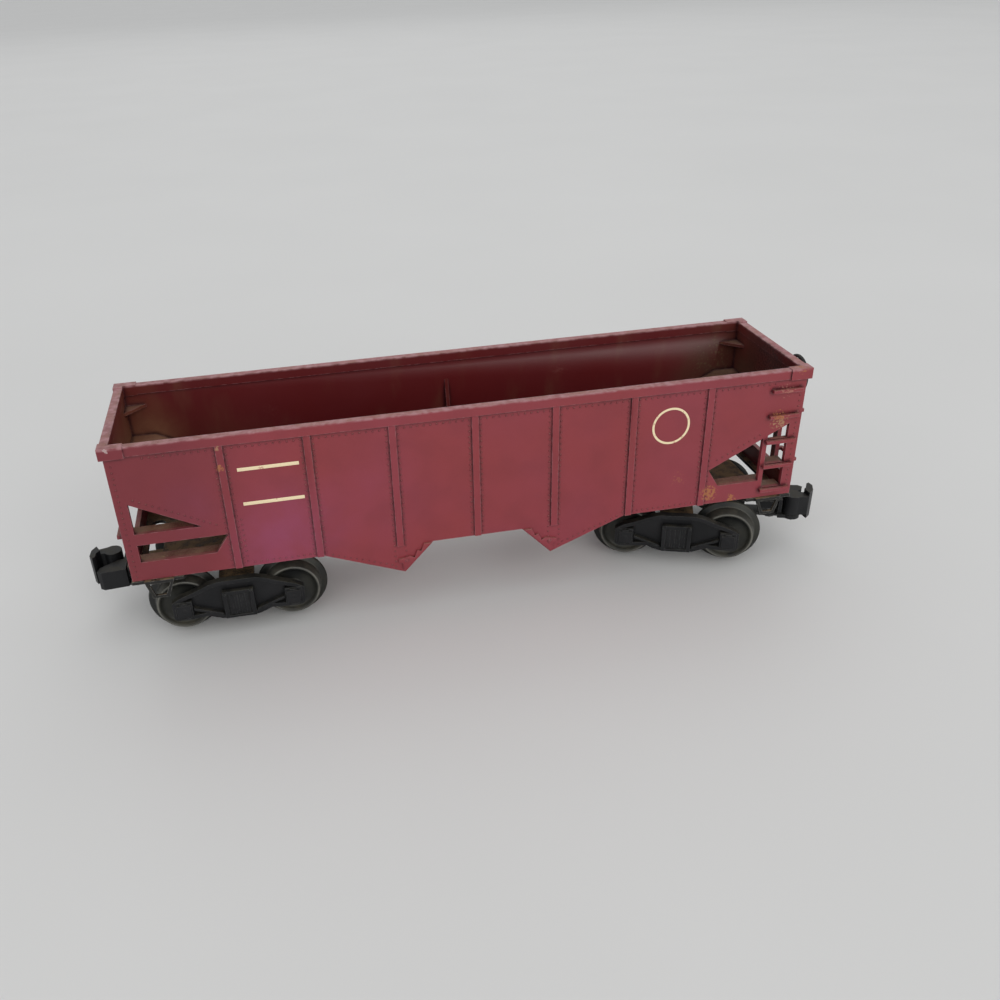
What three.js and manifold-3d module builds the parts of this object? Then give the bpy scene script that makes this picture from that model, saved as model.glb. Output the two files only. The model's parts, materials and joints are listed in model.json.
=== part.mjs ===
// A toy-gauge two-bay hopper car: a one-piece moulded body with sloping ends and two discharge bays,
// a sheet-steel frame under each end with two steps, two swivelling trucks with magnetic couplers,
// and a small brake wheel on one end.
// Millimetres. +X runs along the car to the brake-wheel end, +Z is up, and the flanges stand on z = 0.
import * as THREE from "three";
import { mergeVertices } from "three/addons/utils/BufferGeometryUtils.js";
import Module from "manifold-3d";

const wasm = await Module();
wasm.setup();

// ------------------------------------------------------------------ driving dimensions

const GAP = 0.3; // left between pieces that touch on the real car
const WELD = 0.1; // how far joined shapes run into each other
const PAST = 1.0; // how far a cut runs past the face it goes through
const DEG = Math.PI / 180;

// Wheels and axles. Distances across the car run from its centre line.
const TREAD_R = 9.1;
const FLANGE_H = 2.15; // flange past the tread
const FLANGE_T = 1.4;
const TREAD_TAPER = 0.45; // less radius at the outer edge
const WHEEL_BACK_Y = 15.0;
const WHEEL_W = 5.5;
const WHEEL_BASE = 33.9;
const TYRE_RING = 1.6; // the dished face starts this far inside the tread
const FACE_DISH = 1.3;
const HUB_R = 2.8;
const AXLE_R = 1.3;
const AXLE_RUN = 0.08; // radial running clearance of a wheel on its axle
const AXLE_SHOULDER = 0.7; // the axle is this much thicker between its wheels

// Body
const BODY_LENGTH = 216.0; // over the rim's corner caps
const BODY_WIDTH = 49.8; // over the rim's corner caps
const WHEEL_TO_SILL = 1.9;
const BODY_H = 44.6; // side sheets and rim
const WALL = 1.5;
const RIM_H = 3.0;
const RIM_PROUD = 0.65;
const RIM_INWARD = 0.4;
const CAP_PROUD = 0.4;
const CAP_RISE = 0.3;
const CAP_LENGTH = 7.0;
const CAP_WIDTH = 4.2;

const FLANGE_R = TREAD_R + FLANGE_H;
const FACE_R = TREAD_R - TYRE_RING;
const AXLE_Z = FLANGE_R;
const SILL_Z = 2 * FLANGE_R + WHEEL_TO_SILL;
const TOP_Z = SILL_Z + BODY_H;
const CAP_X = BODY_LENGTH / 2;
const CAP_Y = BODY_WIDTH / 2;
const RIM_X = CAP_X - CAP_PROUD;
const RIM_Y = CAP_Y - CAP_PROUD;
const SHEET_X = RIM_X - RIM_PROUD; // outer faces of the sheets
const SHEET_Y = RIM_Y - RIM_PROUD;
const INNER_X = SHEET_X - WALL; // inner faces of the sheets
const INNER_Y = SHEET_Y - WALL;

// Slope sheets and bays. The bays are placed from the car's middle, the shelf from its end.
const SLOPE_T = 1.6;
const SHELF_DROP = 17.4; // the flat shelf's top below the rim's top
const SHELF_LENGTH = 7.0;
const BAY_X = 24.0; // lowest edge of a bay
const BAY_DROP = 10.0; // the same edge below the sill
const BAY_STEEP_RUN = 9.5;
const BAY_GENTLE_RUN = 25.0;
const FIN_T = 1.2; // stiffening fins at the middle of the side sheets
const FIN_DEPTH = 5.0;
const FIN_DROP = 9.0;
const GUSSET_DROP = 6.7; // corner gussets below the rim's top
const GUSSET_LENGTH = 6.5;
const GUSSET_T = 1.0;

// Side ribs
const RIB_COUNT = 7;
const RIB_PITCH = 25.02;
const RIB_W = 2.1;
const RIB_PROUD = 0.5;

// Open framing under the sloping ends. Insets run inwards from the outer face of the end sheet.
const POST_W = 3.7;
const SHEET_LIP = 2.0; // the side sheet hangs this much below the slope sheet
const SILL_H = 6.3;
const FLANGE_IN = 3.2; // inward flange of the sill and of the side bar
const ANGLE_T = 1.2;
const OPENING_FOOT = 26.2;
const OPENING_APEX = 30.0;
const BAR_ABOVE_SILL = 12.2;
const BAR_H = 3.8;
const END_POST_Y = 12.5;
const END_POST_W = 2.6;

// Ladders and hand grabs
const STILE_INSET = 12.15;
const STILE_W = 1.5;
const RUNG_H = 1.1;
const RUNG_T = 1.0;
const RUNG_STANDOFF = 0.6;
const RUNG_INSET = 1.5;
const RUNG_LENGTH = 10.0;
const RUNG_TOP_DROP = 6.5; // first rung below the rim's top
const RUNG_PITCH = 8.8;
const RUNG_COUNT = 5;
const PLAIN_RUNGS = 3; // from the top; the rest have a tread reaching inwards
const GRAB_LENGTH = 9.6;

// Sheet-steel end frames and their screws
const FRAME_T = 1.1;
const FRAME_NECK_Y = 14.0;
const FRAME_TO_BAY = 6.85; // from the frame's inner end to the bay
const FRAME_WIDE_LENGTH = 15.5;
const FRAME_FLARE = 4.0; // run of the slope between the neck and the wide part
const FRAME_OVERHANG = 0.4; // past the end sheet
const SLOT_INSET = 3.2;
const SLOT_LENGTH = 4.8;
const SLOT_Y = 13.0;
const STEP_PAST_AXLE = 0.85; // from the outer axle to the step's inner edge, clear of the swinging wheel
const STEP_TOP_W = 8.9;
const STEP_FOOT_W = 5.0;
const STEP_FOOT_IN = 1.7;
const STEP_H = 6.2;
const STEP_STRIP = 0.9;
const STEP_LEG = 1.26; // strip width of the slanting legs, measured along the frame
const SCREW_X = 10.0; // from the truck's pivot towards the car's middle
const SCREW_Y = 6.0;
const SCREW_R = 1.0;
const SCREW_HEAD_R = 1.9;
const SCREW_HEAD_H = 1.1;
const SCREW_LENGTH = 6.5;
const SLOT_W = 0.6; // screwdriver slot
const SLOT_DEPTH = 0.5;
const BOSS_R = 2.6;

// Trucks. Their parts are placed from the pivot, with x outwards to the coupler.
const PIVOT_INSET = 30.0; // from the outer face of the end sheet
const TRUCK_A_YAW = 0; // as the trucks stand, in degrees
const TRUCK_B_YAW = -20.5;
const SIDE_FRAME_IN = 0.8; // side frame clear of the wheel's outer face
const SIDE_FRAME_T = 1.7;
const SIDE_FRAME_RELIEF = 1.2; // raised bands and boxes on its outer face
const SIDE_FRAME_BAND = 1.3;
const ARCH_HALF = 5.6; // flat top of the side frame's arch
const ARCH_H = 8.8; // above the axle line
const SHOULDER_IN = 4.35; // shoulder, inwards of the axle
const SHOULDER_H = 6.4;
const SEAT_HALF = 5.4; // flat foot under the springs
const SEAT_DROP = 4.9; // below the axle line
const CHORD_HALF = 9.8; // where the foot has risen to the lower chord
const CHORD_DROP = 3.2;
const FOOT_HALF = 2.6; // flat foot under each journal box
const FOOT_DROP = 3.6;
const TIP = 3.45; // side frame past the axle
const TIP_H = 2.9;
const TIP_SLOPE = 2.4; // run of the slope above the tip
const TIP_TOP_H = 4.4;
const SPRING_X = 1.6;
const SPRING_R = 1.3;
const LID_CHAMFER = 0.9;
const LID_PROUD = 0.4; // journal lids past the spring box, and the box past the edge band
const JOURNAL_W = 5.8;
const JOURNAL_H = 6.6;
const SPRING_BOX_W = 10.0;
const SPRING_BOX_H = 9.0;
const BOLSTER_ABOVE_AXLE = 5.2;
const BOLSTER_T = 1.4;
const BOLSTER_W = 11.0;
const PIVOT_R = 1.8;
const PIVOT_HEAD_R = 2.7;
const PIVOT_HEAD_T = 1.0;
const HUB_BOSS_R = 4.0;
const WASHER_R = 5.6;
const WASHER_T = 0.8;

// Couplers. These eight run outwards from the outer axle.
const ARMATURE_REACH_IN = 5.65; // to the armature's hinge
const SHANK_REACH = 11.55;
const RIVET_REACH = 14.65;
const BUTTON_REACH = 16.05;
const TONGUE_REACH = 17.75;
const HEAD_REACH = 18.05;
const KNUCKLE_REACH = 22.65;
const GUARD_REACH = 27.05;
const TONGUE_ROOT_Y = 5.8;
const TONGUE_END_Y = 4.2;
const SHANK_Y = 3.2;
const HEAD_DROP = 5.05; // head's foot below the tongue
const HEAD_H = 6.6;
const LUG_T = 1.3;
const KNUCKLE_Y = -4.4;
const BARREL_R = 2.9;
const BARREL_H = 7.0;
const BARREL_CROWN = 1.0; // solid metal left over the pin
const KNUCKLE_H = 10.0;
const KNUCKLE_PIN_R = 0.75;
const COUPLER_RIVET_R = 1.1;
const COUPLER_HEAD_R = 1.9;
const GUARD_Y = 6.0;
const HEAD_BACK_T = 1.2;
const HINGE_DROP = 2.05; // armature's hinge below the tongue
const SHANK_DROP = 3.25; // underside of the shank below the tongue
const ARMATURE_DROP = 4.2; // plate below its hinge
const ARMATURE_T = 0.8;
const ARMATURE_Y = 3.0;
const ARMATURE_REACH = 15.0;
const ARMATURE_PIN_R = 0.6;
const EAR_T = 1.0;
const EAR_W = 2.4;
const BUTTON_SHANK_R = 0.9;
const EAR_GAP = 0.4; // between the bolster's ears and the armature's
const RIVET_HEAD_T = 0.6;
const PIN_HEAD_R = 1.5;
const BUTTON_R = 2.6;
const BUTTON_T = 0.9;

// Brake wheel, on the end at +X
const BRAKE_Y = -12.4;
const BRAKE_DROP = 6.8; // centre below the rim's top
const BRAKE_OUT = 3.2; // ring's plane from the end sheet
const BRAKE_R = 6.5;
const BRAKE_WIRE_R = 0.65;
const BRAKE_HUB_R = 1.5;
const BRAKE_SPOKES = 5;
const BRAKE_PIN_R = 0.7;
const BRAKE_HUB_HALF = 0.8; // half the hub's length
const SPOKE_W = 1.0;
const SPOKE_T = 0.8;

// Derived places
const FRAME_TOP = SILL_Z - GAP;
const FRAME_Z = FRAME_TOP - FRAME_T;
const PIVOT_X = SHEET_X - PIVOT_INSET;
const WHEEL_FACE_Y = WHEEL_BACK_Y + WHEEL_W;
const SIDE_FRAME_Y = WHEEL_FACE_Y + SIDE_FRAME_IN;
const BOLSTER_Z = AXLE_Z + BOLSTER_ABOVE_AXLE;
const BOLSTER_TOP = BOLSTER_Z + BOLSTER_T;
const SILL_TOP = SILL_Z + SILL_H;
const BAR_Z = SILL_Z + BAR_ABOVE_SILL;
const POST_X = SHEET_X - POST_W;
const AXLE_X = WHEEL_BASE / 2; // from the pivot
const ARMATURE_X = AXLE_X + ARMATURE_REACH_IN;
const SHANK_START = AXLE_X + SHANK_REACH;
const COUPLER_RIVET_X = AXLE_X + RIVET_REACH;
const BUTTON_X = AXLE_X + BUTTON_REACH;
const TONGUE_END = AXLE_X + TONGUE_REACH;
const HEAD_START = AXLE_X + HEAD_REACH;
const KNUCKLE_X = AXLE_X + KNUCKLE_REACH;
const HEAD_END = AXLE_X + GUARD_REACH;
const HEAD_Z = BOLSTER_Z - HEAD_DROP;
const ARMATURE_Z = BOLSTER_Z - HINGE_DROP;
const SHANK_Z = BOLSTER_Z - SHANK_DROP;
const BRAKE_Z = TOP_Z - BRAKE_DROP;
const BRAKE_PLANE = SHEET_X + BRAKE_OUT;

// ------------------------------------------------------------------ solids

// A three.js geometry as a solid that can be cut and joined.
function solid(geometry) {
  const bare = geometry.clone();
  bare.deleteAttribute("normal");
  bare.deleteAttribute("uv");
  const merged = mergeVertices(bare, 1e-4);
  return new wasm.Manifold(
    new wasm.Mesh({
      numProp: 3,
      vertProperties: new Float32Array(merged.attributes.position.array),
      triVerts: new Uint32Array(merged.index.array),
    }),
  );
}

const join = (first, ...others) => others.reduce((whole, other) => whole.add(other), first);
const cut = (first, ...others) => others.reduce((rest, other) => rest.subtract(other), first);

const X = new THREE.Vector3(1, 0, 0);
const Y = new THREE.Vector3(0, 1, 0);
const Z = new THREE.Vector3(0, 0, 1);
const PLANES = {
  plan: new THREE.Matrix4(), // outline in x, y; thickness along z
  side: new THREE.Matrix4().makeBasis(X, Z, Y.clone().negate()), // outline in x, z; along y
  end: new THREE.Matrix4().makeBasis(Y, Z, X), // outline in y, z; along x
};

// An outline given in one of the three planes, solid from one coordinate to another across it.
function slab(plane, points, from, to) {
  const shape = new THREE.Shape(points.map(([u, v]) => new THREE.Vector2(u, v)));
  const geometry = new THREE.ExtrudeGeometry(shape, { depth: to - from, bevelEnabled: false });
  geometry.translate(0, 0, plane === "side" ? -to : from);
  return solid(geometry.applyMatrix4(PLANES[plane]));
}

function block(x0, x1, y0, y1, z0, z1) {
  const geometry = new THREE.BoxGeometry(x1 - x0, y1 - y0, z1 - z0);
  return solid(geometry.translate((x0 + x1) / 2, (y0 + y1) / 2, (z0 + z1) / 2));
}

// A profile of [radius, height] points turned about an axis; heights increase outside and return inside.
function turned(profile, segments, axis) {
  const points = profile.map(([r, h]) => new THREE.Vector2(r, h));
  const geometry = new THREE.LatheGeometry(points, segments);
  if (axis === "z") geometry.rotateX(Math.PI / 2);
  if (axis === "x") geometry.rotateZ(-Math.PI / 2);
  return solid(geometry);
}

function rod(radius, from, to, axis, segments = 20) {
  const profile = [[0, from], [radius, from], [radius, to], [0, to]];
  return turned(profile, segments, axis);
}

function mesh(name, shape, material) {
  const { vertProperties, triVerts, numProp } = shape.getMesh();
  const geometry = new THREE.BufferGeometry();
  const buffer = new THREE.InterleavedBuffer(new Float32Array(vertProperties), numProp);
  geometry.setAttribute("position", new THREE.InterleavedBufferAttribute(buffer, 3, 0));
  geometry.setIndex(new THREE.BufferAttribute(new Uint32Array(triVerts), 1));
  const flat = geometry.toNonIndexed();
  flat.computeVertexNormals();
  const made = new THREE.Mesh(flat, material());
  made.name = name;
  return made;
}

// ------------------------------------------------------------------ materials

const finish = (color, roughness, metalness) => () =>
  new THREE.MeshStandardMaterial({ color, roughness, metalness });
const MAROON_PLASTIC = finish(0x823c41, 0.42, 0.0);
const BLACK_STEEL = finish(0x1d1e20, 0.5, 0.6);
const BLACK_CASTING = finish(0x2c2c2e, 0.55, 0.5);
const WHEEL_METAL = finish(0x3a3c3b, 0.45, 0.8);
const AXLE_STEEL = finish(0x8a8c8e, 0.35, 1.0);
const RIVET_STEEL = finish(0x55565a, 0.4, 0.9);
const WASHER_BRASS = finish(0xb08a44, 0.4, 0.9);

// ------------------------------------------------------------------ slope sheets

const SHELF_UNDER = TOP_Z - SHELF_DROP - SLOPE_T;
const SHELF_EDGE_X = INNER_X - SHELF_LENGTH;
const BAY_HEAD_X = BAY_X + BAY_GENTLE_RUN;
const RIDGE_FOOT_X = BAY_X - BAY_STEEP_RUN;
const RIDGE_UNDER = SILL_Z + (RIDGE_FOOT_X * BAY_DROP) / BAY_STEEP_RUN;
const SLOPE_RISE = (SHELF_UNDER - SILL_Z) / (SHELF_EDGE_X - BAY_HEAD_X);

const slopeUnder = (x) => SILL_Z + (x - BAY_HEAD_X) * SLOPE_RISE;
const lip = (x) => slopeUnder(x) - SHEET_LIP;
const lipX = (z) => BAY_HEAD_X + (z + SHEET_LIP - SILL_Z) / SLOPE_RISE;

// Underside of the floor from the ridge at the car's middle to the end sheet.
const HALF_FLOOR = [
  [0, RIDGE_UNDER],
  [BAY_X, SILL_Z - BAY_DROP],
  [BAY_HEAD_X, SILL_Z],
  [SHELF_EDGE_X, SHELF_UNDER],
  [INNER_X, SHELF_UNDER],
];

// The same line moved up by a thickness measured square to it.
function raised(line, thickness) {
  const edges = line.slice(1).map(([x, z], i) => {
    const [px, pz] = line[i];
    const length = Math.hypot(x - px, z - pz);
    const [nx, nz] = [-(z - pz) / length, (x - px) / length];
    const start = [px + nx * thickness, pz + nz * thickness];
    return { start, slope: (z - pz) / (x - px) };
  });
  const heightOn = (edge, x) => edge.start[1] + edge.slope * (x - edge.start[0]);
  const corners = edges.slice(1).map((edge, i) => {
    const before = edges[i];
    const rise = heightOn(edge, 0) - heightOn(before, 0);
    const x = rise / (before.slope - edge.slope);
    return [x, heightOn(before, x)];
  });
  const [firstX] = line[0];
  const [lastX] = line[line.length - 1];
  const last = edges[edges.length - 1];
  return [[firstX, heightOn(edges[0], firstX)], ...corners, [lastX, heightOn(last, lastX)]];
}

const mirrorX = (line) => line.map(([x, z]) => [-x, z]).reverse();

// ------------------------------------------------------------------ hopper body

function bodyShell() {
  const outline = [
    [RIDGE_FOOT_X, SILL_Z],
    [BAY_X, SILL_Z - BAY_DROP],
    [BAY_HEAD_X, SILL_Z],
    [SHEET_X, SILL_Z],
    [SHEET_X, TOP_Z - RIM_H / 2],
  ];
  const shell = slab("side", [...mirrorX(outline), ...outline], -SHEET_Y, SHEET_Y);
  const floorTop = raised(HALF_FLOOR, SLOPE_T);
  const hold = [
    ...mirrorX(floorTop),
    ...floorTop.slice(1),
    [INNER_X, TOP_Z + PAST],
    [-INNER_X, TOP_Z + PAST],
  ];
  const below = SILL_Z - PAST;
  const underEnd = [
    [BAY_HEAD_X, below],
    [INNER_X, below],
    [INNER_X, SHELF_UNDER],
    [SHELF_EDGE_X, SHELF_UNDER],
    [BAY_HEAD_X, SILL_Z],
  ];
  const underRidge = [
    [-RIDGE_FOOT_X, below],
    [RIDGE_FOOT_X, below],
    [RIDGE_FOOT_X, SILL_Z],
    [0, RIDGE_UNDER],
    [-RIDGE_FOOT_X, SILL_Z],
  ];
  const voids = [hold, underEnd, mirrorX(underEnd), underRidge];
  return cut(shell, ...voids.map((section) => slab("side", section, -INNER_Y, INNER_Y)));
}

// The rim with its four corner caps.
function rim() {
  const z0 = TOP_Z - RIM_H;
  const insideX = INNER_X - RIM_INWARD;
  const insideY = INNER_Y - RIM_INWARD;
  const band = block(-RIM_X, RIM_X, -RIM_Y, RIM_Y, z0, TOP_Z);
  const caps = cut(
    block(-CAP_X, CAP_X, -CAP_Y, CAP_Y, z0 - CAP_RISE, TOP_Z + CAP_RISE),
    block(-CAP_X + CAP_LENGTH, CAP_X - CAP_LENGTH, -CAP_Y - PAST, CAP_Y + PAST, z0 - PAST, TOP_Z + PAST),
    block(-CAP_X - PAST, CAP_X + PAST, -CAP_Y + CAP_WIDTH, CAP_Y - CAP_WIDTH, z0 - PAST, TOP_Z + PAST),
  );
  const mouth = block(-insideX, insideX, -insideY, insideY, z0 - PAST, TOP_Z + PAST);
  return cut(join(band, caps), mouth);
}

function sideRibs() {
  const ribs = [];
  for (let i = 0; i < RIB_COUNT; i += 1) {
    const x = (i - (RIB_COUNT - 1) / 2) * RIB_PITCH;
    const [x0, x1] = [x - RIB_W / 2, x + RIB_W / 2];
    const [yIn, yOut] = [INNER_Y + WELD, SHEET_Y + RIB_PROUD];
    ribs.push(block(x0, x1, yIn, yOut, SILL_Z, TOP_Z - RIM_H / 2));
    ribs.push(block(x0, x1, -yOut, -yIn, SILL_Z, TOP_Z - RIM_H / 2));
  }
  return ribs;
}

// Flat gussets across the hold's corners, and upright fins at the middle of its sides.
function innerStiffeners() {
  const made = [];
  const gussetTop = TOP_Z - GUSSET_DROP;
  for (const sx of [-1, 1]) {
    for (const sy of [-1, 1]) {
      const triangle = [
        [sx * (INNER_X + WELD), sy * (INNER_Y + WELD)],
        [sx * (INNER_X - GUSSET_LENGTH), sy * (INNER_Y + WELD)],
        [sx * (INNER_X + WELD), sy * (INNER_Y - GUSSET_LENGTH)],
      ];
      made.push(slab("plan", triangle, gussetTop - GUSSET_T, gussetTop));
    }
  }
  for (const sy of [-1, 1]) {
    const fin = [
      [sy * (INNER_Y + WELD), TOP_Z - FIN_DROP],
      [sy * (INNER_Y + WELD), RIDGE_UNDER + 1],
      [sy * (INNER_Y - FIN_DEPTH), RIDGE_UNDER + 1],
    ];
    made.push(slab("end", fin, -FIN_T / 2, FIN_T / 2));
  }
  return made;
}

// Openings through one side sheet at the +X end, with a bar across them.
function barredOpenings() {
  const barTop = BAR_Z + BAR_H;
  const upper = [[lipX(barTop), barTop], [POST_X, barTop], [POST_X, lip(POST_X)]];
  const lower = [
    [lipX(BAR_Z), BAR_Z],
    [POST_X, BAR_Z],
    [POST_X, SILL_TOP],
    [SHEET_X - OPENING_FOOT, SILL_TOP],
  ];
  return [upper, lower];
}

const rungZ = (i) => TOP_Z - RUNG_TOP_DROP - i * RUNG_PITCH;

// Openings through one side sheet at the +X end, with a ladder across them.
function ladderOpenings() {
  const stile0 = SHEET_X - STILE_INSET;
  const stile1 = stile0 + STILE_W;
  const apexX = SHEET_X - OPENING_APEX;
  const main = [
    [apexX, lip(apexX)],
    [SHEET_X - OPENING_FOOT, SILL_TOP],
    [stile0, SILL_TOP],
    [stile0, lip(stile0)],
  ];
  const half = RUNG_H / 2;
  const window = (low, high) => [[stile1, low], [POST_X, low], [POST_X, high], [stile1, high]];
  const top = [
    [stile1, rungZ(2) + half],
    [POST_X, rungZ(2) + half],
    [POST_X, lip(POST_X)],
    [stile1, lip(stile1)],
  ];
  return [
    main,
    top,
    window(rungZ(3) + half, rungZ(2) - half),
    window(rungZ(4) + half, rungZ(3) - half),
  ];
}

// Rungs of the ladder on the -Y side at the +X end, the lower ones with a tread reaching inwards.
function ladderRungs() {
  const made = [];
  const x1 = SHEET_X - RUNG_INSET;
  const x0 = x1 - RUNG_LENGTH;
  const outer = SHEET_Y + RUNG_STANDOFF + RUNG_T;
  for (let i = 0; i < RUNG_COUNT; i += 1) {
    const z0 = rungZ(i) - RUNG_H / 2;
    const z1 = rungZ(i) + RUNG_H / 2;
    made.push(block(x0, x1, -outer, -outer + RUNG_T, z0, z1));
    made.push(block(x0, x0 + RUNG_H, -outer + WELD, -SHEET_Y + WELD, z0, z1));
    made.push(block(x1 - RUNG_H, x1, -outer + WELD, -SHEET_Y + WELD, z0, z1));
    if (i < PLAIN_RUNGS) continue;
    made.push(block(x0 + RUNG_H, POST_X + WELD, -SHEET_Y, -INNER_Y + FLANGE_IN, z0, z1));
  }
  return made;
}

// Inward flanges along the sill and the bar at the +X end; the ladder's side has only a short sill.
function angleFlanges() {
  const footX = SHEET_X - OPENING_FOOT;
  const sill = (sy, x1) => {
    const [y0, y1] = [sy * (INNER_Y - FLANGE_IN), sy * (INNER_Y + WELD)].sort((a, b) => a - b);
    return block(footX - 2, x1, y0, y1, SILL_TOP - ANGLE_T, SILL_TOP);
  };
  const barTop = BAR_Z + BAR_H;
  const barX0 = lipX(barTop) + 1;
  return [
    sill(1, INNER_X + WELD),
    sill(-1, SHEET_X - STILE_INSET + STILE_W),
    block(barX0, INNER_X + WELD, INNER_Y - FLANGE_IN, INNER_Y + WELD, barTop - ANGLE_T, barTop),
  ];
}

// Openings through the end sheet between its corner posts, its two middle posts and its sill.
function endOpenings() {
  const halfPost = END_POST_W / 2;
  const inCorner = SHEET_Y - POST_W;
  const spans = [
    [-inCorner, -END_POST_Y - halfPost],
    [-END_POST_Y + halfPost, END_POST_Y - halfPost],
    [END_POST_Y + halfPost, inCorner],
  ];
  return spans.map(([y0, y1]) => block(INNER_X - PAST, SHEET_X + PAST, y0, y1, SILL_TOP, SHELF_UNDER));
}

// Hand grabs on the end at +X: two on the -Y side, one on the +Y side.
function endGrabs() {
  const heights = [[-1, rungZ(1)], [-1, rungZ(3)], [1, BAR_Z + BAR_H - RUNG_H]];
  const outer = SHEET_X + RUNG_STANDOFF + RUNG_T;
  return heights.map(([sy, z]) => {
    const yOut = sy * (SHEET_Y - RUNG_INSET);
    const yIn = yOut - sy * GRAB_LENGTH;
    const [low, high] = [z - RUNG_H / 2, z + RUNG_H / 2];
    const span = (a, b, x0, x1) => block(x0, x1, Math.min(a, b), Math.max(a, b), low, high);
    return join(
      span(yIn, yOut, outer - RUNG_T, outer),
      span(yIn, yIn + sy * RUNG_H, SHEET_X - WELD, outer - WELD),
      span(yOut, yOut - sy * RUNG_H, SHEET_X - WELD, outer - WELD),
    );
  });
}

// Two posts under each slope sheet take the frame's screws.
function screwPosts() {
  const x = PIVOT_X - SCREW_X;
  return [-SCREW_Y, SCREW_Y].map((y) =>
    rod(BOSS_R, SILL_Z, slopeUnder(x) + WELD, "z", 12).translate([x, y, 0]),
  );
}

function screwHoles() {
  const x = PIVOT_X - SCREW_X;
  const top = SILL_Z + SCREW_LENGTH - FRAME_T + GAP;
  return [-SCREW_Y, SCREW_Y].map((y) =>
    rod(SCREW_R + GAP, SILL_Z - PAST, top, "z", 10).translate([x, y, 0]),
  );
}

function hopperBody() {
  const halfTurn = (shape) => shape.rotate([0, 0, 180]);
  const bothEnds = (shapes) => shapes.flatMap((shape) => [shape, halfTurn(shape)]);
  const through = (outline, sy) => {
    const [y0, y1] = sy > 0 ? [INNER_Y - PAST, SHEET_Y + PAST] : [-SHEET_Y - PAST, -INNER_Y + PAST];
    return slab("side", outline, y0, y1);
  };
  const sideCuts = [
    ...barredOpenings().map((outline) => through(outline, 1)),
    ...ladderOpenings().map((outline) => through(outline, -1)),
  ];
  const open = cut(bodyShell(), ...bothEnds([...sideCuts, ...endOpenings()]));
  const added = [...ladderRungs(), ...angleFlanges(), ...endGrabs(), ...screwPosts()];
  const whole = join(open, rim(), ...sideRibs(), ...innerStiffeners(), ...bothEnds(added));
  const brakeBore = rod(BRAKE_PIN_R + GAP, INNER_X - PAST, SHEET_X + PAST, "x", 12);
  return cut(
    whole,
    ...bothEnds(screwHoles()),
    brakeBore.translate([0, BRAKE_Y, BRAKE_Z]),
  );
}

// ------------------------------------------------------------------ end frames and screws

// One closed step loop, hanging under the edge of the frame at the +X end on the side sy.
function stepLoop(sy) {
  const x0 = PIVOT_X + AXLE_X + STEP_PAST_AXLE;
  const x1 = x0 + STEP_TOP_W;
  const f0 = x0 + STEP_TOP_W - STEP_FOOT_IN - STEP_FOOT_W;
  const f1 = f0 + STEP_FOOT_W;
  const z0 = FRAME_TOP - STEP_H;
  const s = STEP_STRIP;
  const outer = [[x0, FRAME_TOP], [f0, z0], [f1, z0], [x1, FRAME_TOP]];
  const inner = [
    [x0 + STEP_LEG, FRAME_Z],
    [f0 + s, z0 + s],
    [f1 - s, z0 + s],
    [x1 - STEP_LEG, FRAME_Z],
  ];
  const y = SHEET_Y - WELD;
  const [y0, y1] = sy > 0 ? [y, y + s] : [-y - s, -y];
  return cut(slab("side", outer, y0, y1), slab("side", inner, y0 - PAST, y1 + PAST));
}

function endFrame() {
  const x1 = SHEET_X + FRAME_OVERHANG;
  const wideX = x1 - FRAME_WIDE_LENGTH;
  const x0 = BAY_HEAD_X + FRAME_TO_BAY;
  const y = SHEET_Y;
  const outline = [
    [x0, -FRAME_NECK_Y],
    [wideX - FRAME_FLARE, -FRAME_NECK_Y],
    [wideX, -y],
    [x1, -y],
    [x1, y],
    [wideX, y],
    [wideX - FRAME_FLARE, FRAME_NECK_Y],
    [x0, FRAME_NECK_Y],
  ];
  const slotX1 = SHEET_X - SLOT_INSET;
  const slotX0 = slotX1 - SLOT_LENGTH;
  const slotEnd = SLOT_Y - SLOT_LENGTH / 2;
  const plate = join(slab("plan", outline, FRAME_Z, FRAME_TOP), stepLoop(1), stepLoop(-1));
  const hole = (r, x, yc) => rod(r, FRAME_Z - PAST, FRAME_TOP + PAST, "z", 16).translate([x, yc, 0]);
  return cut(
    plate,
    block(slotX0, slotX1, -slotEnd, slotEnd, FRAME_Z - PAST, FRAME_TOP + PAST),
    hole(SLOT_LENGTH / 2, (slotX0 + slotX1) / 2, slotEnd),
    hole(SLOT_LENGTH / 2, (slotX0 + slotX1) / 2, -slotEnd),
    hole(PIVOT_R + GAP, PIVOT_X, 0),
    hole(SCREW_R + GAP, PIVOT_X - SCREW_X, SCREW_Y),
    hole(SCREW_R + GAP, PIVOT_X - SCREW_X, -SCREW_Y),
  );
}

function frameScrew(x, y) {
  const headTop = FRAME_Z - GAP;
  const z0 = headTop - SCREW_HEAD_H;
  const profile = [
    [0, z0],
    [SCREW_HEAD_R * 0.8, z0],
    [SCREW_HEAD_R, z0 + SCREW_HEAD_H * 0.5],
    [SCREW_HEAD_R, headTop],
    [SCREW_R, headTop],
    [SCREW_R, headTop + SCREW_LENGTH],
    [0, headTop + SCREW_LENGTH],
  ];
  const slot = block(-SCREW_HEAD_R, SCREW_HEAD_R, -SLOT_W / 2, SLOT_W / 2, z0 - PAST, z0 + SLOT_DEPTH);
  return cut(turned(profile, 10, "z"), slot).translate([x, y, 0]);
}

// ------------------------------------------------------------------ wheels, axles, side frames

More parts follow.
